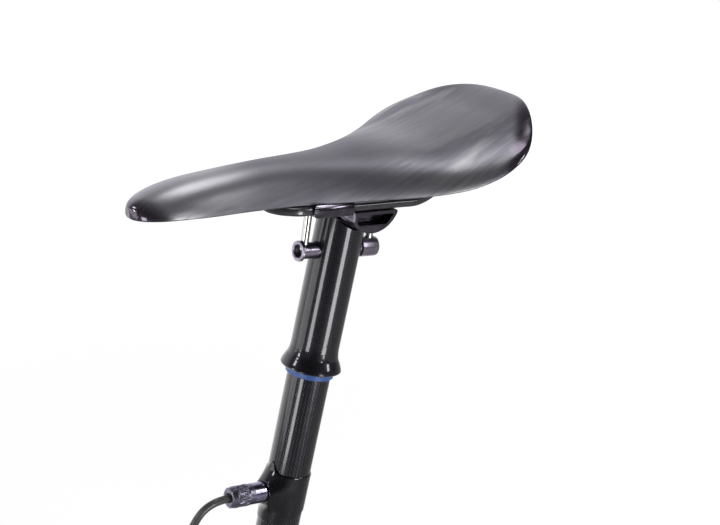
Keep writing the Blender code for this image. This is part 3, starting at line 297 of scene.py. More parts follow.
class Graph:
    """Shader nodes wired up by short calls; a value is a constant or another node's output."""

    def __init__(self, tree):
        self.tree = tree

    def put(self, target, value):
        if isinstance(value, bpy.types.NodeSocket):
            self.tree.links.new(value, target)
        else:
            target.default_value = value

    def node(self, kind, *values, **settings):
        node = self.tree.nodes.new("ShaderNode" + kind)
        for name, value in settings.items():
            setattr(node, name, value)
        for target, value in zip(node.inputs, values):
            self.put(target, value)
        return node

    def math(self, operation, *values):
        return self.node("Math", *values, operation=operation).outputs[0]

    def times(self, first, *others):
        for other in others:
            first = self.math("MULTIPLY", first, other)
        return first

    def add(self, first, second):
        return self.math("ADD", first, second)

    def less(self, first, second):
        return self.math("SUBTRACT", first, second)

    def vector(self, x, y):
        return self.node("CombineXYZ", x, y, 0.0).outputs[0]

    def noise(self, vector, scale, detail=3.0, roughness=0.5):
        node = self.node("TexNoise", vector)
        node.inputs["Scale"].default_value = scale
        node.inputs["Detail"].default_value = detail
        node.inputs["Roughness"].default_value = roughness
        return node.outputs[0]

    def fit(self, value, low, high, to_low=0.0, to_high=1.0):
        """Maps low to high onto to_low to to_high by a smooth step."""
        node = self.node("MapRange", value, low, high, to_low, to_high, interpolation_type="SMOOTHSTEP")
        return node.outputs[0]

    def blend(self, share, first, second):
        node = self.node("Mix", share, data_type="RGBA")
        for target, value in zip(node.inputs[6:8], (first, second)):
            self.put(target, (*value, 1.0) if isinstance(value, tuple) else value)
        return node.outputs[2]


class Surface(Graph):
    """A material with a principled shader."""

    def __init__(self, name, colour=(0.5, 0.5, 0.5), **settings):
        self.material = bpy.data.materials.new(name)
        self.material.use_nodes = True
        super().__init__(self.material.node_tree)
        self.shader = self.tree.nodes["Principled BSDF"]
        self.set("Base Color", (*colour, 1.0))
        for socket, value in settings.items():
            self.set(socket.replace("_", " "), value)

    def set(self, socket, value):
        self.put(self.shader.inputs[socket], value)

    def uv(self):
        surface = self.node("UVMap", uv_map="surface").outputs[0]
        return self.node("SeparateXYZ", surface).outputs[:2]

    def place(self):
        return self.node("TexCoord").outputs["Object"]

    def bump(self, height, distance, strength):
        node = self.node("Bump")
        node.inputs["Strength"].default_value = strength
        node.inputs["Distance"].default_value = distance
        self.put(node.inputs["Height"], height)
        self.set("Normal", node.outputs[0])


def brighter(colour, factor, lift=0.0):
    return tuple(min(1.0, factor * channel + lift) for channel in colour)


def carbon(name, tow, lean, repeat, light, dark):
    """Clear-coated braid: a tow's width, its angle off the tube and the weave's repeat in tows."""
    graph = Surface(name, dark, Metallic=0.8, Coat_Weight=1.0, Coat_Roughness=0.085, Coat_IOR=1.5)
    u, v = graph.uv()
    round_part = graph.times(u, math.cos(lean) / tow)
    high_part = graph.times(v, math.sin(lean) / tow)
    p = graph.add(round_part, high_part)
    q = graph.less(high_part, round_part)
    cell = graph.less(graph.math("FLOOR", p), graph.math("FLOOR", q))
    over = graph.math("LESS_THAN", graph.math("FLOORED_MODULO", cell, float(repeat)), repeat / 2)
    under = graph.less(1.0, over)

    def crown(tows):
        return graph.math("SINE", graph.times(graph.math("FRACT", tows), math.pi))

    def fibres(p_scale, q_scale):
        return graph.noise(graph.vector(graph.times(p, p_scale), graph.times(q, q_scale)), 1.0, 2.0)

    across = 9.0
    along = 0.6
    rise = graph.add(graph.times(over, crown(p)), graph.times(under, crown(q)))
    fibre = graph.add(graph.times(over, fibres(across, along)), graph.times(under, fibres(along, across)))
    patch = graph.noise(graph.vector(u, v), 260.0, 2.0)
    share = graph.times(over, graph.fit(rise, 0.25, 0.85), graph.fit(fibre, 0.3, 0.7, 0.6, 1.0),
                        graph.fit(patch, 0.3, 0.7, 0.55, 1.0))
    graph.set("Base Color", graph.blend(share, dark, light))
    graph.set("Roughness", graph.fit(fibre, 0.3, 0.7, 0.3, 0.45))
    graph.bump(graph.add(rise, graph.times(fibre, 0.25)), 0.00004, 0.8)
    return graph.material


def plain_carbon(name, colour, roughness):
    """Clear-coated carbon with its fibres all one way: fine streaks along v."""
    graph = Surface(name, colour, Metallic=0.3, Coat_Weight=1.0, Coat_Roughness=0.08)
    u, v = graph.uv()
    streak = graph.noise(graph.vector(graph.times(u, 2600.0), graph.times(v, 120.0)), 1.0)
    graph.set("Base Color", graph.blend(graph.fit(streak, 0.35, 0.7), colour, brighter(colour, 2.1)))
    graph.set("Roughness", graph.fit(streak, 0.3, 0.7, roughness * 0.8, roughness * 1.25))
    graph.bump(streak, 0.00004, 0.6)
    return graph.material


def anodised(name, colour, roughness):
    """Bead-blasted and anodised alloy with faint wear."""
    graph = Surface(name, colour, Metallic=1.0)
    place = graph.place()
    grain = graph.noise(place, 5200.0, 2.0)
    patch = graph.noise(place, 160.0, 4.0)
    graph.set("Base Color", graph.blend(graph.fit(patch, 0.4, 0.75), colour, brighter(colour, 1.35, 0.02)))
    graph.set("Roughness", graph.fit(grain, 0.3, 0.7, roughness * 0.97, roughness * 1.05))
    return graph.material


def bright_metal(name, colour, roughness):
    """Smooth steel or alloy with slight smears."""
    graph = Surface(name, colour, Metallic=1.0)
    smears = graph.noise(graph.place(), 700.0)
    graph.set("Roughness", graph.fit(smears, 0.3, 0.7, roughness * 0.9, roughness * 1.15))
    return graph.material


def moulded(name, colour, roughness):
    """Moulded plastic or rubber with a fine grain and slight mottling."""
    graph = Surface(name, colour)
    place = graph.place()
    grain = graph.noise(place, 1800.0)
    patch = graph.noise(place, 90.0)
    graph.set("Base Color", graph.blend(graph.fit(patch, 0.35, 0.75), colour, brighter(colour, 1.5, 0.01)))
    graph.set("Roughness", graph.fit(grain, 0.3, 0.7, roughness * 0.9, roughness * 1.15))
    graph.bump(grain, 0.00003, 0.4)
    return graph.material


def woven(name, colour):
    """Webbing: ribs across the band."""
    graph = Surface(name, colour, Roughness=0.85, Sheen_Weight=0.3)
    u, v = graph.uv()
    across = graph.math("SINE", graph.times(u, 2 * math.pi / 0.0012))
    along = graph.math("SINE", graph.times(v, 2 * math.pi / 0.0008))
    ribs = graph.add(across, along)
    graph.set("Base Color", graph.blend(graph.fit(ribs, -1.0, 1.6), colour, brighter(colour, 2.2)))
    graph.bump(ribs, 0.00015, 0.6)
    return graph.material


def silver_shell(name):
    """Satin silver fibre with slanting streaks, and dark gloss at the nose's tip and the tail's corners."""
    graph = Surface(name, Metallic=0.7)
    u, v = graph.uv()
    side = graph.math("ABSOLUTE", v)
    lean = 0.13
    along = graph.add(u, graph.times(v, lean))
    across = graph.less(v, graph.times(u, lean))

    def streak(long_scale, wide_scale, detail):
        stretched = graph.vector(graph.times(along, long_scale), graph.times(across, wide_scale))
        return graph.noise(stretched, 1.0, detail, 0.55)

    cloud = graph.noise(graph.vector(u, v), 22.0, 2.0)
    broad = streak(14.0, 60.0, 3.0)
    fine = streak(38.0, 420.0, 4.0)
    hair = streak(80.0, 1500.0, 2.0)
    streaks = graph.add(graph.times(broad, 0.45), graph.times(fine, 0.55))
    strength = graph.times(graph.fit(side, 0.012, 0.045, 0.25, 1.0), graph.fit(cloud, 0.35, 0.65, 0.4, 1.0))
    swing = graph.times(graph.less(graph.fit(streaks, 0.33, 0.67), 0.5), strength)
    base = graph.blend(graph.add(0.5, swing), (0.185, 0.180, 0.215), (0.385, 0.390, 0.400))
    # Painted highlight: the middle of the crown is painted lighter from the waist forwards to the nose.
    painted_crown_highlight = graph.times(graph.fit(side, 0.024, 0.006), graph.fit(u, 0.10, 0.16), 0.6)
    base = graph.blend(painted_crown_highlight, base, (0.62, 0.62, 0.66))
    # Painted shade: the waist is painted darker, and so are patches of the flanks where the broad streaks
    # are faint.
    waist = graph.times(graph.fit(u, 0.085, 0.125), graph.fit(u, 0.222, 0.185))
    flank = graph.times(graph.fit(side, 0.018, 0.034), graph.fit(broad, 0.40, 0.60, 0.9, 0.0))
    painted_shade = graph.math("MAXIMUM", graph.times(waist, 0.55), graph.times(flank, 0.6))
    base = graph.blend(painted_shade, base, (0.098, 0.092, 0.125))
    scratch = graph.times(graph.fit(hair, 0.68, 0.74), graph.fit(broad, 0.45, 0.62), 0.8)
    base = graph.blend(scratch, base, (0.06, 0.055, 0.066))
    tip = graph.fit(graph.add(u, graph.times(side, 0.55)), SHELL_LENGTH - 0.0070, SHELL_LENGTH + 0.0020)
    corner = graph.fit(graph.less(side, u), 0.009, 0.020)
    ends = graph.times(graph.math("MAXIMUM", tip, corner), graph.fit(fine, 0.25, 0.55, 0.75, 1.0))
    graph.set("Base Color", graph.blend(ends, base, (0.085, 0.070, 0.094)))
    rough = graph.add(graph.fit(streaks, 0.3, 0.7, 0.42, 0.35), graph.times(waist, 0.1))
    graph.set("Roughness", graph.times(rough, graph.less(1.0, graph.times(ends, 0.66))))
    graph.bump(graph.times(graph.add(streaks, graph.times(hair, 0.2)), strength), 0.00016, 0.6)
    return graph.material


# Mesh helpers; edges sharper than this many degrees stay sharp

SHARP_ANGLE = 35.0


def mesh_object(name, bm, matrix):
    bmesh.ops.recalc_face_normals(bm, faces=bm.faces)
    mesh = bpy.data.meshes.new(name)
    bm.to_mesh(mesh)
    bm.free()
    mesh.transform(matrix)
    return link(name, mesh)


def smooth(mesh, sharp=SHARP_ANGLE):
    mesh.shade_smooth()
    mesh.set_sharp_from_angle(angle=math.radians(sharp))


def finish_mesh(name, bm, matrix, material, body, replaced, sharp=SHARP_ANGLE):
    bmesh.ops.remove_doubles(bm, verts=bm.verts, dist=1e-7)
    piece = mesh_object(name, bm, matrix)
    smooth(piece.data, sharp)
    piece.data.materials.append(material)
    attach(piece, body)
    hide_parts(replaced)
    return piece


def grid(bm, rows, closed, coordinates):
    """Joins rows of vertices by faces; coordinates give each vertex its place on the surface."""
    layer = bm.loops.layers.uv.get("surface") or bm.loops.layers.uv.new("surface")
    width = len(rows[0])
    for r in range(len(rows) - 1):
        for i in range(width if closed else width - 1):
            corners = {}
            for row, column in ((r, i), (r, i + 1), (r + 1, i + 1), (r + 1, i)):
                corners.setdefault(rows[row][column % width], (row, column))
            if len(corners) < 3:
                continue
            face = bm.faces.new(list(corners))
            for loop, place in zip(face.loops, corners.values()):
                loop[layer].uv = coordinates(*place)


def turned(name, outline, matrix, material, body, replaced, steps=112, hollow=True, shape=None,
           sharp=SHARP_ANGLE):
    """A body turned about local Z, with u round it and v along its outline, both in metres."""
    bm = bmesh.new()
    rings = []
    for radius, level in outline:
        if radius < 1e-9:
            rings.append([bm.verts.new((0, 0, level))] * steps)
            continue
        ring = []
        for i in range(steps):
            angle = 2 * math.pi * i / steps
            r = shape(radius, level, i / steps) if shape else radius
            ring.append(bm.verts.new((r * math.cos(angle), r * math.sin(angle), level)))
        rings.append(ring)
    points = list(outline)
    if hollow:
        points.append(points[0])
        rings.append(rings[0])
    travelled = [0.0]
    for a, b in zip(points[:-1], points[1:]):
        travelled.append(travelled[-1] + math.dist(a, b))
    widest = max(radius for radius, level in points)
    grid(bm, rings, True, lambda row, column: (2 * math.pi * widest * column / steps, travelled[row]))
    return finish_mesh(name, bm, matrix, material, body, replaced, sharp)


def extrude(bm, outline, low, high, axis):
    """Fills a mesh with an outline extruded from low to high along X or Y."""
    first, second = [[bm.verts.new((level, a, b) if axis == "X" else (a, level, b)) for a, b in outline]
                     for level in (low, high)]
    bm.faces.new(first)
    bm.faces.new(second[::-1])
    for i in range(len(outline)):
        j = (i + 1) % len(outline)
        bm.faces.new((first[i], second[i], second[j], first[j]))


def prism(name, outline, low, high, axis, matrix, material, body, replaced):
    bm = bmesh.new()
    extrude(bm, outline, low, high, axis)
    return finish_mesh(name, bm, matrix, material, body, replaced)


def cutter(fill, matrix):
    """A mesh to subtract from a piece, given as a function that fills it."""
    bm = bmesh.new()
    fill(bm)
    return mesh_object("cutter", bm, matrix)


def rod_cutter(radius, low, high, matrix, steps=64):
    def fill(bm):
        bmesh.ops.create_cone(bm, cap_ends=True, segments=steps, radius1=radius, radius2=radius,
                              depth=high - low, matrix=shift(0, (low + high) / 2))
    return cutter(fill, matrix)


def prism_cutter(outline, low, high):
    return cutter(lambda bm: extrude(bm, outline, low, high, "Y"), CLAMP)


def shape_with(piece, cutters, rounding=0.0):
    """Cuts a piece, rounds its edges and keeps the result as its mesh."""
    for tool in cutters:
        cut = piece.modifiers.new("cut", "BOOLEAN")
        cut.operation = "DIFFERENCE"
        cut.solver = "EXACT"
        cut.object = tool
    if rounding:
        bevel = piece.modifiers.new("edge", "BEVEL")
        bevel.width = rounding
        bevel.segments = 3
        bevel.limit_method = "ANGLE"
        bevel.angle_limit = math.radians(SHARP_ANGLE)
        bevel.harden_normals = False
    bpy.context.view_layer.update()
    shaped = bpy.data.meshes.new_from_object(piece.evaluated_get(bpy.context.evaluated_depsgraph_get()))
    piece.modifiers.clear()
    piece.data = shaped
    smooth(shaped)
    for tool in cutters:
        bpy.data.objects.remove(tool, do_unlink=True)


def arc(x, z, radius, start, end, count):
    angles = np.radians(np.linspace(start, end, count))
    return [(x + radius * math.cos(a), z + radius * math.sin(a)) for a in angles]


def box_outline(x_low, x_high, z_low, z_high):
    return [(x_low, z_low), (x_high, z_low), (x_high, z_high), (x_low, z_high)]


def smooth_through(knots, values, at):
    """Monotone cubic through the knots, without overshoot."""
    knots = np.asarray(knots, float)
    values = np.asarray(values, float)
    at = np.asarray(at, float)
    step = np.diff(knots)
    slope = np.diff(values) / step
    tangent = np.zeros(len(knots))
    tangent[0] = slope[0]
    tangent[-1] = slope[-1]
    for i in range(1, len(knots) - 1):
        if slope[i - 1] * slope[i] > 0:
            before = 2 * step[i] + step[i - 1]
            after = step[i] + 2 * step[i - 1]
            tangent[i] = (before + after) / (before / slope[i - 1] + after / slope[i])
    span = np.clip(np.searchsorted(knots, at, side="right") - 1, 0, len(step) - 1)
    t = (at - knots[span]) / step[span]
    rise = values[span + 1] - values[span]
    start = tangent[span] * step[span]
    end = tangent[span + 1] * step[span]
    cubic = t * start + t * t * (3 * rise - 2 * start - end) + t ** 3 * (start + end - 2 * rise)
    return values[span] + cubic


def curve_through(points, spacing):
    """Evenly spaced points on a smooth curve through the given ones."""
    points = [Vector(point) for point in points]
    ends = [2 * points[0] - points[1]] + points + [2 * points[-1] - points[-2]]
    fine = []
    steps = 24
    for before, start, end, after in zip(ends, ends[1:], ends[2:], ends[3:]):
        for i in range(steps):
            t = i / steps
            bend = (2 * before - 5 * start + 4 * end - after) * t * t
            twist = (3 * start - before - 3 * end + after) * t ** 3
            fine.append((2 * start + (end - before) * t + bend + twist) / 2)
    fine.append(points[-1])
    travelled = [0.0]
    for a, b in zip(fine[:-1], fine[1:]):
        travelled.append(travelled[-1] + (b - a).length)
    count = max(2, round(travelled[-1] / spacing))
    places = np.linspace(0, travelled[-1], count + 1)
    columns = [np.interp(places, travelled, [point[axis] for point in fine]) for axis in range(3)]
    return [Vector(point) for point in zip(*columns)]


# Cable


def coil_points():
    """The coil winds inwards, climbs to its second layer and winds outwards again."""
    inward = COIL_TURNS / 2 - COIL_CLIMB / 2
    points = []
    count = round(COIL_TURNS * COIL_POINTS_PER_TURN)
    for i in range(count + 1):
        turn = COIL_TURNS * i / count
        angle = COIL_START - 2 * math.pi * turn
        climb = min(max((turn - inward) / COIL_CLIMB, 0.0), 1.0)
        side = COIL_STEP * (climb * climb * (3 - 2 * climb) - 0.5)
        wound = min(turn, inward, COIL_TURNS - turn) + math.sin(math.pi * climb) / (2 * math.pi)
        radius = COIL_OUTER - COIL_STEP * wound
        points.append(Vector((COIL_AHEAD + radius * math.cos(angle), side,
                              COIL_LEVEL + radius * math.sin(angle))))
    straight = 2 * HOUSING_RADIUS
    back = Vector((-math.sin(COIL_START), 0, math.cos(COIL_START)))
    return [points[0] + straight * back] + points + [points[-1] + Vector((0, 0, straight))]


def make_cable(material):
    coil = [POST @ point for point in coil_points()]
    meeting = coil[0] + (coil[0] - coil[1]).normalized() * 2 * HOUSING_RADIUS
    points = curve_through([*HOUSING_ROUTE, meeting], HOUSING_STEP) + coil
    curve = bpy.data.curves.new("housing", "CURVE")
    curve.dimensions = "3D"
    curve.bevel_depth = HOUSING_RADIUS
    curve.bevel_resolution = 7
    curve.use_fill_caps = True
    spline = curve.splines.new("POLY")
    spline.points.add(len(points) - 1)
    for target, point in zip(spline.points, points):
        target.co = (*point, 1.0)
    spline.use_smooth = True
    curve.materials.append(material)
    piece = link("housing", curve)
    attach(piece, "mast")
    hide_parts("cable_housing", "housing_coil")


# Saddle


def shell_section(x, grown=0.0):
    """Half width, crown height and skirt level of the shell at a distance x from its tail."""
    share = x / SHELL_LENGTH
    tail = np.clip(1 - (1 - np.clip(x / TAIL_END, 0, 1)) ** TAIL_POWER, 0, 1) ** (1 / TAIL_POWER)
    nose_gap = np.clip((SHELL_LENGTH - x) / NOSE_END, 0, 1)
    nose = np.clip(1 - (1 - nose_gap) ** NOSE_POWER, 0, 1) ** (1 / NOSE_POWER)
    nearby = np.clip(share + np.linspace(-0.05, 0.05, 11), 0, 1)
    half = float(np.mean(smooth_through(SHELL_SHARES, SHELL_HALF_WIDTHS, nearby))) * tail * nose
    spine = float(smooth_through(CROWN_SHARES, CROWN_HEIGHTS, share))
    crown = spine - TAIL_DROP * (1 - tail) - NOSE_DROP * (1 - nose) + grown
    depth = float(smooth_through(SKIRT_SHARES, SKIRT_DEPTHS, share)) - (spine - crown)
    skirt = crown - (depth + math.hypot(depth, SKIRT_LEAST)) / 2
    return half + grown, crown, skirt


def section_point(x, turn, section):
    """A point of the shell's section; turn goes from -1 at one rim to 1 at the other."""
    half, crown, skirt = section
    angle = turn * math.pi / 2
    across = math.copysign(abs(math.sin(angle)) ** (2 / SIDE_POWER), angle)
    rise = abs(math.cos(angle)) ** (2 / CROWN_POWER)
    return (x, half * across, skirt + (crown - skirt) * rise)


def make_shell(material, lining_material):
    # The sections lie closer together towards the tail and the nose
    stations = SHELL_LENGTH * (0.5 - 0.5 * np.cos(np.linspace(0.02, math.pi - 0.02, SHELL_SECTIONS)))
    turns = np.sin(np.linspace(-math.pi / 2, math.pi / 2, SECTION_POINTS))
    middle = len(turns) // 2
    bm = bmesh.new()
    outer = []
    inner = []
    arcs = []
    for x in stations:
        section = shell_section(x)
        places = [section_point(x, turn, section) for turn in turns]
        outer.append([bm.verts.new(place) for place in places])
        steps = [math.dist(a, b) for a, b in zip(places[:-1], places[1:])]
        travelled = np.concatenate([[0], np.cumsum(steps)])
        arcs.append(travelled - travelled[middle])
        inside = SHELL_WALL + x * (SHELL_LENGTH - 2 * SHELL_WALL) / SHELL_LENGTH
        lining = shell_section(inside, -SHELL_WALL)
        inner.append([bm.verts.new(section_point(inside, turn, lining)) for turn in turns])

    def spread(row, column):
        return stations[row], arcs[row][column]

    grid(bm, outer, False, spread)
    bm.faces.new(outer[0])
    bm.faces.new(outer[-1])
    rim_out = [row[0] for row in outer] + [row[-1] for row in outer[::-1]]
    rim_in = [row[0] for row in inner] + [row[-1] for row in inner[::-1]]
    lip = []
    for turn in np.radians(np.linspace(0, 180, LIP_POINTS)):
        if turn == 0:
            lip.append(rim_out)
        elif turn > math.pi - 1e-6:
            lip.append(rim_in)
        else:
            share = (1 - math.cos(turn)) / 2
            drop = Vector((0, 0, -SHELL_LIP * math.sin(turn)))
            lip.append([bm.verts.new(a.co.lerp(b.co, share) + drop) for a, b in zip(rim_out, rim_in)])
    places = [(x, arcs[i][0]) for i, x in enumerate(stations)]
    places += [(x, arcs[-1 - i][-1]) for i, x in enumerate(stations[::-1])]
    grid(bm, lip, True, lambda row, column: places[column % len(places)])
    outside = len(bm.faces)
    grid(bm, inner, False, spread)
    bm.faces.new(inner[0])
    bm.faces.new(inner[-1])
    bm.faces.ensure_lookup_table()
    for face in bm.faces[outside:]:
        face.material_index = 1
    shell = finish_mesh("silver_shell", bm, SADDLE, material, "saddle", "saddle_shell", 50.0)
    shell.data.materials.append(lining_material)


def make_rail(label, side, material):
    spacing = 0.0012
    around = 0.0007
    path = [Vector((x, side * y, z)) for x, y, z in curve_through(RAIL_PATH, spacing)]
    bm = bmesh.new()
    section = []
    for x, z, start in ((1, 1, 0), (-1, 1, 90), (-1, -1, 180), (1, -1, 270)):
        section += arc(x * (RAIL_WIDTH / 2 - RAIL_CORNER), z * (RAIL_HEIGHT / 2 - RAIL_CORNER), RAIL_CORNER,
                       start, start + 90, 7)
    rows = []
    for i, point in enumerate(path):
        forward = (path[max(i - 1, 0)] - path[min(i + 1, len(path) - 1)]).normalized()
        across = Vector((0, 0, 1)).cross(forward).normalized()
        up = forward.cross(across).normalized()
        rows.append([bm.verts.new(point + across * out + up * rise) for out, rise in section])
    grid(bm, rows, True, lambda row, column: (column * around, row * spacing))
    bm.faces.new(rows[0])
    bm.faces.new(rows[-1])
    finish_mesh(label + "_rail_finish", bm, CLAMP, material, "saddle", label + "_rail")


# Clamp


def cheek_outline(inset=0.0):
    """Half-moon side of the cradle, with its rear tip and its front corner rounded."""
    top = CRADLE_TOP - inset
    radius = CHEEK_RADIUS - inset
    front = CRADLE_FRONT - inset
    corner = max(CHEEK_CORNER - inset, 0.001)
    drop = CHEEK_Z - top
    back = 180 + math.degrees(math.asin(drop / radius))
    foot = math.sqrt((radius - corner) ** 2 - (front - corner - CHEEK_X) ** 2)
    corner_x = front - corner
    turn = 360 - math.degrees(math.atan2(foot, corner_x - CHEEK_X))
    curve = arc(CHEEK_X, CHEEK_Z, radius, back + CHEEK_TIP_TURN, turn, 44)
    tip = (CHEEK_X + radius * math.cos(math.radians(back)), top)
    start = (tip[0] + CHEEK_TIP, top)
    outline = []
    for t in np.linspace(0, 1, 9)[:-1]:
        outline.append(tuple((1 - t) ** 2 * a + 2 * t * (1 - t) * b + t * t * c
                             for a, b, c in zip(start, tip, curve[0])))
    outline += curve
    outline += arc(corner_x, CHEEK_Z - foot, corner, turn, 360, 12)[1:]
    outline.append((front, top))
    return outline


def make_cradle(material):
    body = prism("cradle_finish", cheek_outline(), -CHEEK_OUTER, CHEEK_OUTER, "Y", CLAMP, material, "clamp",
                 "lower_cradle")
    rocker = arc(0, 0, SEAT_RADIUS - GAP, 190, 350, 81)
    rocker += [(REACH, rocker[-1][1]), (REACH, -REACH), (-REACH, -REACH), (-REACH, rocker[0][1])]
    tools = [prism_cutter(rocker, -CHEEK_INNER, CHEEK_INNER)]
    window = [(x, max(z, WINDOW_FLOOR)) for x, z in cheek_outline(WINDOW_INSET)]
    for side in (1, -1):
        low, high = sorted((side * (CHEEK_OUTER - WINDOW_DEPTH), side * (CHEEK_OUTER + OVER)))
        tools.append(prism_cutter(window, low, high))
    channel = box_outline(-REACH, REACH, CRADLE_TOP - CHANNEL_DEPTH, CRADLE_TOP + OVER)
    tools.append(prism_cutter(channel, -CHANNEL_HALF, CHANNEL_HALF))
    tools.append(prism_cutter(box_outline(-REACH, NOTCH_FRONT, -REACH, OVER), -NOTCH_HALF, NOTCH_HALF))
    shape_with(body, tools, CRADLE_EDGE)


def yoke_outline(skirted):
    """Section of an upper jaw: a boss, fences inside the rails and, if skirted, skirts outside them."""
    plate_low = RAIL_LEVEL + RAIL_HEIGHT / 2 + GAP
    plate_high = plate_low + YOKE_PLATE
    fence_out = RAIL_GAUGE - RAIL_WIDTH / 2 - GAP
    fence_in = fence_out - FENCE_WALL
    fence_low = plate_low - FENCE_DEPTH
    crown = WASHER_LEVEL + YOKE_CROWN
    half = [(0, YOKE_FOOT), (YOKE_BOSS, YOKE_FOOT), (YOKE_BOSS, plate_low), (fence_in, plate_low),
            (fence_in, fence_low), (fence_out, fence_low), (fence_out, plate_low)]
    rail_out = RAIL_GAUGE + RAIL_WIDTH / 2
    if skirted:
        skirt_in = rail_out + GAP
        lip_in = skirt_in - YOKE_LIP_REACH
        lip_high = RAIL_LEVEL - RAIL_HEIGHT / 2 - GAP
        lip_low = lip_high - YOKE_LIP
        half += [(skirt_in, plate_low), (skirt_in, lip_high), (lip_in, lip_high), (lip_in, lip_low)]
        middle = (lip_low + plate_high) / 2
        half += [(skirt_in + SKIRT_WALL - SKIRT_BULGE * t * t, middle + t * (plate_high - middle))
                 for t in np.linspace(-1, 1, 13)]
    else:
        half += [(rail_out, plate_low), (rail_out, plate_high)]
    half += [(YOKE_BOSS + 0.002, plate_high), (YOKE_BOSS, crown), (0, crown)]
    return half + [(-y, z) for y, z in half[::-1] if y > 0]


def bolt_place(head_x):
    turn = HEAD_PITCH - CLAMP_PITCH
    return (head_x - SEAT_AHEAD - WASHER_LEVEL * math.sin(turn)) / math.cos(turn)


def rounding_outline(x, z, radius, way):
    """What rounding a corner at (x, z) takes off; way is -1 for a lower corner and 1 for an upper one."""
    centre = z - way * radius
    beyond = 0.001
    outline = [(px, centre + way * pz) for px, pz in arc(x - radius, 0, radius, 90, 0, 13)]
    return outline + [(x + beyond, centre), (x + beyond, z + way * beyond), (x - radius, z + way * beyond)]


def make_yoke(label, ends, skirted, bolt_x, material):
    rear, front = ends
    body = prism(label + "_yoke_finish", yoke_outline(skirted), rear, front, "X", CLAMP, material, "clamp",
                 label + "_yoke")
    place = bolt_place(bolt_x)
    room = WASHER_RADIUS + WASHER_ROOM
    half = WASHER_HALF + WASHER_SIDE_ROOM
    seat = arc(place, WASHER_LEVEL, room, 180, 360, 41) + [(place + room, REACH), (place - room, REACH)]
    tools = [prism_cutter(seat, -half, half), rod_cutter(YOKE_HOLE, -REACH, REACH, CLAMP @ shift(place, 0))]
    if skirted:
        low = RAIL_LEVEL - RAIL_HEIGHT / 2 - GAP - YOKE_LIP
        high = RAIL_LEVEL + RAIL_HEIGHT / 2 + GAP + YOKE_PLATE
        for level, radius, way in ((low, YOKE_LOW_ROUNDING, -1), (high, YOKE_TOP_ROUNDING, 1)):
            tools.append(prism_cutter(rounding_outline(front, level, radius, way), -REACH, REACH))
    shape_with(body, tools, YOKE_EDGE)


def make_bolt(label, bolt_x, steel):
    turn = HEAD_PITCH - CLAMP_PITCH
    level = SEAT_ABOVE - bolt_place(bolt_x) * math.sin(turn) + WASHER_LEVEL * math.cos(turn)
    axis = HEAD @ shift(bolt_x, 0)
    washer = prism(label + "_washer_finish", arc(0, level, WASHER_RADIUS, 180, 360, 41), -WASHER_HALF,
                   WASHER_HALF, "Y", axis, steel, label + "_washer_body", label + "_washer")
    shape_with(washer, [rod_cutter(WASHER_BORE, level - 0.01, level + 0.01, axis)], WASHER_EDGE)
    under = level + GAP
    top = under + HEAD_HEIGHT
    edge = 0.0004
    rim = 0.0002
    outline = [(0, BOLT_FOOT), (BOLT_RADIUS - edge, BOLT_FOOT), (BOLT_RADIUS, BOLT_FOOT + edge),
               (BOLT_RADIUS, under), (HEAD_RADIUS - rim, under), (HEAD_RADIUS, under + rim),
               (HEAD_RADIUS, top - edge), (HEAD_RADIUS - edge, top), (0, top)]
    bolt = turned(label + "_bolt_finish", outline, axis, steel, label + "_bolt_body", label + "_bolt",
                  48, False)
    shape_with(bolt, [rod_cutter(KEY_RADIUS, top - KEY_DEPTH, top + OVER, axis, 6)])


# Post


def collar_radius(height):
    return OUTER_RADIUS + COLLAR_BULGE * float(smooth_through(COLLAR_HEIGHTS, COLLAR_SHARES, height))


def collar_level(height):
    return COLLAR_LOW + height + COLLAR_LIFT * max(0.0, 1 - height / COLLAR_WIDEST)


def make_outer_tube(material):
    lip = 0.0024
    heights = [*np.linspace(0, lip, 17)[:-1], *np.linspace(lip, COLLAR_HEIGHTS[-1], 27)]
    inner = OUTER_RADIUS - OUTER_WALL
    edge = 0.0002
    outline = [(collar_radius(height), collar_level(height)) for height in heights]
    outline += [(OUTER_RADIUS, level) for level in np.linspace(COLLAR_LOW + 0.02, OUTER_TOP - edge, 20)]
    outline += [(OUTER_RADIUS - edge, OUTER_TOP), (inner, OUTER_TOP), (inner, COLLAR_LOW + BUSH_SEAT),
                (COLLAR_BORE, COLLAR_LOW + BUSH_SEAT), (COLLAR_BORE, COLLAR_LOW + COLLAR_LIFT)]
    body = turned("outer_tube_finish", outline, POST, material, "upper_post", "outer_tube",
                  128)
    seat = SEAT @ Matrix.Rotation(math.pi / 2, 4, "X")
    shape_with(body, [rod_cutter(SEAT_RADIUS, -REACH, REACH, seat, 128),
                      rod_cutter(CROSS_RADIUS + GAP, -REACH, REACH, CROSS)])


def make_mast(material):
    inner = TUBE_RADIUS - TUBE_WALL
    edge = 0.0003
    levels = np.linspace(MAST_FOOT + edge, STANCHION_TOP, 60)
    outline = [(TUBE_RADIUS - edge, MAST_FOOT)] + [(TUBE_RADIUS, level) for level in levels]
    outline += [(inner, STANCHION_TOP), (inner, MAST_FOOT)]
    turned("mast_finish", outline, POST, material, "mast", "mast_tube", 128)


def make_wiper(material):
    band_high = COLLAR_LOW + COLLAR_LIFT - 0.0001
    spigot_high = band_high + WIPER_SPIGOT_HEIGHT
    inner = TUBE_RADIUS + WIPER_GAP
    edge = 0.0003
    outline = [(WIPER_RADIUS - edge, WIPER_LOW), (WIPER_RADIUS, WIPER_LOW + edge), (WIPER_RADIUS, band_high),
               (WIPER_SPIGOT, band_high), (WIPER_SPIGOT, spigot_high), (inner, spigot_high),
               (inner, WIPER_LOW + 0.0004), (inner + edge, WIPER_LOW)]
    turned("wiper_finish", outline, POST, material, "upper_post", "wiper_seal")


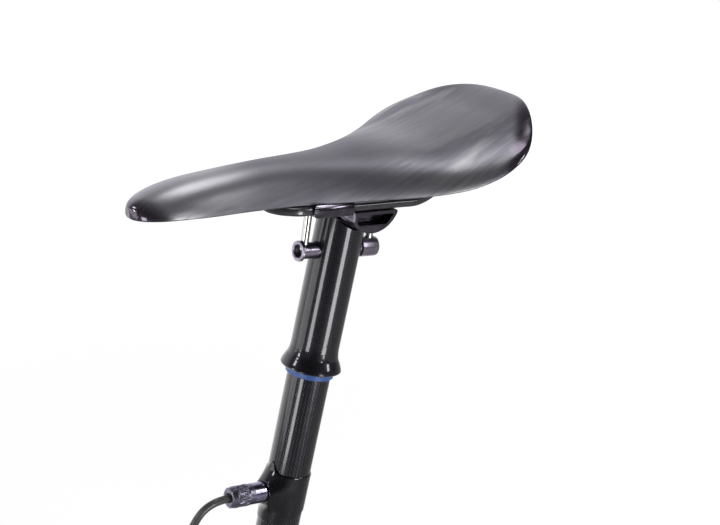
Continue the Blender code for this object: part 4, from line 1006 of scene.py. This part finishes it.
def lug_point(angle, share, radius):
    """A point of the lug round the mast; share goes from 0 at its lower edge to 1 at its upper one."""
    low = LUG_LOW - LUG_LOW_SLOPE * math.cos(angle)
    high = LUG_TOP + LUG_TOP_RISE * max(0.0, math.cos(angle)) ** 24
    return Vector((radius * math.cos(angle), radius * math.sin(angle), low + (high - low) * share))


def flared(point):
    """Draws a point of the lug out towards the rim of the cable's boss."""
    axis = BOSS_TURN @ Vector((0, 0, 1))
    offset = point - Vector((0, 0, BOSS_LEVEL))
    along = offset.dot(axis)
    side = offset - along * axis
    upward = max(0.0, side.z / max(side.length, 1e-9))
    reach = BOSS_REACH + BOSS_REACH_UP * upward
    if along <= 0 or side.length >= reach:
        return point
    blend = min(1.0, (reach - side.length) / (reach - BOSS_RIM)) ** 2
    return point + axis * max(0.0, BOSS_FACE - along) * blend


def make_lug(material):
    front = np.radians(np.linspace(-55, 55, 89))
    back = np.radians(np.linspace(55, 305, 61))
    angles = [*front, *back[1:-1]]
    ends = (0, 0.002, 0.005, 0.009, 0.014, 0.020)
    shares = [*ends, *np.linspace(0.03, 0.97, 60), *[1 - share for share in ends[::-1]]]
    bm = bmesh.new()
    outer = []
    inner = []
    bore = TUBE_RADIUS - LUG_OVERLAP
    for share in shares:
        # Both edges are rounded off, the lower one in less height
        soft = min(1.0, share * LUG_LOW_SHARPNESS, (1 - share) * LUG_TOP_SHARPNESS)
        edge = TUBE_RADIUS + (LUG_RADIUS - TUBE_RADIUS) * math.sqrt(max(0.0, 1 - (1 - soft) ** 2))
        outer.append([bm.verts.new(flared(lug_point(a, share, edge))) for a in angles])
        inner.append([bm.verts.new(lug_point(a, share, bore)) for a in angles])

    def spread(row, column):
        angle = angles[column] if column < len(angles) else back[-1]
        return LUG_RADIUS * angle, shares[row] * (LUG_TOP - LUG_LOW)

    grid(bm, outer, True, spread)
    grid(bm, inner, True, spread)
    for i in range(len(angles)):
        j = (i + 1) % len(angles)
        for end in (0, -1):
            bm.faces.new((outer[end][i], outer[end][j], inner[end][j], inner[end][i]))
    body = finish_mesh("lug_finish", bm, POST, material, "mast", "cable_lug", 60.0)
    shape_with(body, [rod_cutter(FERRULE_RADIUS + GAP, BOSS_FACE - FERRULE_SEAT - GAP, REACH, BOSS, 96),
                      rod_cutter(ADJUSTER_SPIGOT, BOSS_FACE - BOSS_BORE_DEPTH, BOSS_FACE, BOSS, 48)])


def knurled(radius, level, turn):
    """The adjuster's radius with two sets of slanting flutes cut in its middle."""
    if radius < ADJUSTER_RADIUS - 1e-6 or not KNURL_LOW <= level <= KNURL_HIGH:
        return radius
    share = (level - KNURL_LOW) / (KNURL_HIGH - KNURL_LOW)
    nearest = min(abs(((KNURL_FLUTES * turn + lead) % 1) - 0.5) * 2 for lead in (share, -share))
    fade = min(1.0, share * 8, (1 - share) * 8)
    return radius - KNURL_DEPTH * fade * (1 - min(1.0, 1.5 * nearest)) ** 1.5


def make_adjuster(ferrule_metal, adjuster_metal):
    start = BOSS_FACE - FERRULE_SEAT
    top = FERRULE_END + FERRULE_CROWN
    step = FERRULE_END - FERRULE_CAP
    outline = [(FERRULE_RADIUS, start), (FERRULE_RADIUS, top), (FERRULE_BORE, top),
               (FERRULE_BORE, FERRULE_END), (FERRULE_BORE, step), (FERRULE_WIDE_BORE, step),
               (FERRULE_WIDE_BORE, start)]
    turned("ferrule_finish", outline, BOSS, ferrule_metal, "mast", "lug_ferrule")
    shoulder = ADJUSTER_START + ADJUSTER_SHOULDER
    end = ADJUSTER_START + ADJUSTER_LENGTH
    band = end - ADJUSTER_BAND
    edge = 0.0004
    chamfer = 0.0012
    lip = 0.0003
    mouth = HOUSING_RADIUS + edge
    foot = ADJUSTER_START - ADJUSTER_SPIGOT_LENGTH
    floor = end - ADJUSTER_MOUTH_DEPTH
    outline = [(ADJUSTER_SPIGOT, foot), (ADJUSTER_SPIGOT, ADJUSTER_START), (FERRULE_RADIUS, ADJUSTER_START),
               (FERRULE_RADIUS, shoulder), (ADJUSTER_RADIUS - 0.0001, shoulder),
               (ADJUSTER_RADIUS, shoulder + 0.0002)]
    outline += [(ADJUSTER_RADIUS, level) for level in np.linspace(KNURL_LOW, KNURL_HIGH, 60)]
    outline += [(ADJUSTER_RADIUS, band), (ADJUSTER_RADIUS - edge, band + edge),
                (ADJUSTER_RADIUS - edge, end - 0.0007), (ADJUSTER_RADIUS - chamfer, end), (mouth + lip, end),
                (mouth, end - lip), (mouth, floor), (WIRE_BORE, floor), (WIRE_BORE, foot)]
    turned("adjuster_finish", outline, BOSS, adjuster_metal, "adjuster", "barrel_adjuster",
           240, True, knurled, 62.0)


def make_cross_tube(material, steel):
    edge = 0.0005
    rim = 0.00015
    rear = -CROSS_BEHIND
    front = CROSS_AHEAD
    rear_flange = rear + REAR_FLANGE_LENGTH
    front_flange = front - FRONT_FLANGE_LENGTH
    outline = [
        (CROSS_FLANGE - edge, rear), (CROSS_FLANGE - rim, rear + rim), (CROSS_FLANGE, rear + edge),
        (CROSS_FLANGE, rear_flange), (CROSS_RADIUS, rear_flange + REAR_FLANGE_SLOPE),
        (CROSS_RADIUS, front_flange - FRONT_FLANGE_SLOPE), (CROSS_FLANGE, front_flange),
        (CROSS_FLANGE, front - edge),
        (CROSS_FLANGE - rim, front - rim), (CROSS_FLANGE - edge, front), (CROSS_BORE + edge, front),
        (CROSS_BORE, front - edge), (CROSS_BORE, rear + edge), (CROSS_BORE + edge, rear),
    ]
    body = turned("cross_tube_finish", outline, CROSS, material, "upper_post", "cross_tube",
                  96)
    shape_with(body, [rod_cutter(CROSS_HOLE, 0, 0.01, HEAD @ shift(place, 0), 48)
                      for place in (FRONT_BOLT_X, REAR_BOLT_X)])
    radius = CROSS_BORE - 0.0002
    low = FRONT_BOLT_X - NUT_HALF
    high = FRONT_BOLT_X + NUT_FRONT
    outline = [(0, low), (radius - edge, low), (radius, low + edge), (radius, high - edge),
               (radius - edge, high), (0, high)]
    nut = turned("front_nut_finish", outline, CROSS, steel, "upper_post", "front_nut", 48,
                 False)
    shape_with(nut, [rod_cutter(CROSS_HOLE, -0.01, 0.01, HEAD @ shift(FRONT_BOLT_X, 0), 48)])


# Set

FLOOR_LEVEL = -0.006
FLOOR_HALF = 6.0
LAMP_AIM = Vector((-0.06, 0.0, 0.28))
FAR_SIDE_TURN = math.radians(28)


def far_side():
    """Horizontal direction from the camera to the bright far left of the studio."""
    angle = CAMERA_AZIMUTH - FAR_SIDE_TURN
    return -math.sin(angle), -math.cos(angle), 0.0


def make_floor():
    """A white floor to the camera; in reflections it is bright on the far side and dark on the near one."""
    mesh = bpy.data.meshes.new("floor")
    signs = ((-1, -1), (1, -1), (1, 1), (-1, 1))
    corners = [(x * FLOOR_HALF, y * FLOOR_HALF, FLOOR_LEVEL) for x, y in signs]
    mesh.from_pydata(corners, [], [(0, 1, 2, 3)])
    link("floor", mesh)
    graph = Surface("floor_white", (0.42, 0.42, 0.42), Roughness=0.9, Specular_IOR_Level=0.0)
    path = graph.node("LightPath").outputs
    place = graph.place()
    heading = graph.node("VectorMath", place, operation="NORMALIZE").outputs["Vector"]
    away = graph.node("VectorMath", heading, far_side(), operation="DOT_PRODUCT").outputs["Value"]
    reach = graph.node("VectorMath", place, operation="LENGTH").outputs["Value"]
    mirrored = graph.times(path["Is Glossy Ray"], graph.fit(away, 0.4, 0.75, 0.06, 1.0))
    seen = graph.times(path["Is Camera Ray"], graph.fit(reach, 0.3, 1.6, 0.78, 0.985))
    graph.set("Emission Strength", graph.math("MAXIMUM", seen, mirrored))
    graph.set("Emission Color", (1, 1, 1, 1))
    mesh.materials.append(graph.material)


def make_world():
    """White to the camera; to the object, a bright far side and a dark near side, as in a white studio."""
    world = bpy.data.worlds.new("studio")
    bpy.context.scene.world = world
    world.use_nodes = True
    graph = Graph(world.node_tree)
    backdrop = graph.tree.nodes["Background"]
    heading = graph.node("TexCoord").outputs["Generated"]
    toward = graph.node("VectorMath", heading, far_side(), operation="DOT_PRODUCT").outputs["Value"]
    height = graph.node("SeparateXYZ", heading).outputs["Z"]
    wall = graph.times(graph.fit(toward, 0.35, 0.72), graph.fit(height, 0.30, 0.85, 1.02, 0.12))
    graph.put(backdrop.inputs["Strength"], graph.add(wall, 0.035))
    backdrop.inputs["Color"].default_value = (0.95, 0.94, 1.0, 1)
    white = graph.node("Background", (1, 1, 1, 1))
    path = graph.node("LightPath").outputs["Is Camera Ray"]
    mix = graph.node("MixShader", path, backdrop.outputs[0], white.outputs[0])
    graph.put(graph.tree.nodes["World Output"].inputs[0], mix.outputs[0])


def softbox(name, azimuth, elevation, distance, width, height, power):
    """An area light aimed at the object; azimuth 0 stands on +X and 90 on +Y."""
    data = bpy.data.lights.new(name, "AREA")
    data.shape = "RECTANGLE"
    data.size = width
    data.size_y = height
    data.energy = power
    a = math.radians(azimuth)
    e = math.radians(elevation)
    out = Vector((math.cos(a) * math.cos(e), math.sin(a) * math.cos(e), math.sin(e)))
    aimed(name, data, LAMP_AIM + distance * out, out)


def main():
    scene = bpy.context.scene
    scene.view_settings.view_transform = "Standard"
    make_camera()
    housing_rubber = moulded("housing_rubber", (0.085, 0.081, 0.078), 0.24)
    make_cable(housing_rubber)

    braid_lean = math.radians(23)
    cloth_lean = math.radians(45)
    braid = carbon("braided_carbon", 0.0010, braid_lean, 4, (0.074, 0.067, 0.089), (0.004, 0.004, 0.007))
    cloth = carbon("plain_woven_carbon", 0.0010, cloth_lean, 2, (0.052, 0.047, 0.064), (0.008, 0.008, 0.012))
    patch = carbon("lug_woven_carbon", 0.0008, cloth_lean, 2, (0.024, 0.022, 0.032), (0.004, 0.004, 0.007))
    rail_carbon = plain_carbon("rail_streaks", (0.035, 0.033, 0.04), 0.3)
    dark_alloy = anodised("anodised_dark", (0.34, 0.305, 0.38), 0.30)
    black_alloy = anodised("anodised_black", (0.115, 0.104, 0.132), 0.17)
    ferrule_alloy = anodised("anodised_ferrule", (0.28, 0.26, 0.37), 0.22)
    knurled_alloy = anodised("anodised_knurl", (0.19, 0.178, 0.235), 0.36)
    steel = bright_metal("turned_steel", (0.50, 0.51, 0.48), 0.17)
    blue = moulded("blue_seal_finish", (0.062, 0.145, 0.43), 0.4)
    alloy = bright_metal("plain_alloy_finish", (0.7, 0.7, 0.71), 0.3)
    bush = moulded("bush_finish", (0.4, 0.38, 0.34), 0.5)
    stop = moulded("stop_finish", (0.03, 0.03, 0.03), 0.7)
    webbing = woven("webbing_finish", (0.03, 0.03, 0.032))

    make_shell(silver_shell("silver_fibre"), rail_carbon)
    for label, side in (("left", 1), ("right", -1)):
        make_rail(label, side, rail_carbon)
    make_cradle(black_alloy)
    make_yoke("front", FRONT_YOKE, True, FRONT_BOLT_X, black_alloy)
    make_yoke("rear", REAR_YOKE, False, REAR_BOLT_X, black_alloy)
    make_bolt("front", FRONT_BOLT_X, steel)
    make_bolt("rear", REAR_BOLT_X, steel)
    make_outer_tube(cloth)
    make_mast(braid)
    make_wiper(blue)
    make_lug(patch)
    make_adjuster(ferrule_alloy, knurled_alloy)
    make_cross_tube(dark_alloy, steel)

    finishes = {
        "tube_carbon": braid, "rail_carbon": rail_carbon, "shell_silver": alloy, "dark_alloy": dark_alloy,
        "plain_alloy": alloy, "bolt_steel": steel, "blue_seal": blue, "bush_plastic": bush,
        "stop_rubber": stop, "housing_plastic": housing_rubber, "tie_webbing": webbing,
    }
    slots = {part["node"]: part["material_slot"] for part in frame["record"]["subparts"]}
    for name, node in nodes.items():
        node.data.materials.clear()
        node.data.materials.append(finishes[slots[name]])

    make_floor()
    make_world()
    # Azimuth and elevation in degrees, distance, width and height in metres, power in watts
    softbox("top_box", 203, 70, 1.6, 0.75, 0.5, 5.8)
    softbox("side_panel", -22, -3, 1.5, 1.0, 0.5, 3.0)
    softbox("left_strip", 21, -5, 1.2, 0.32, 0.36, 2.7)
    softbox("right_strip", 95, -15, 0.70, 0.21, 0.19, 1.15)
    softbox("right_box", 138, 28, 1.6, 0.30, 0.30, 4)
    for name, azimuth, elevation, power in (("left_spot", -12, 14, 2.0), ("high_spot", -18, 35, 2.0),
                                            ("right_spot", 132, 12, 1.8), ("front_spot", 98, 7, 1.4)):
        softbox(name, azimuth, elevation, 1.5, 0.22, 0.22, power)


main()
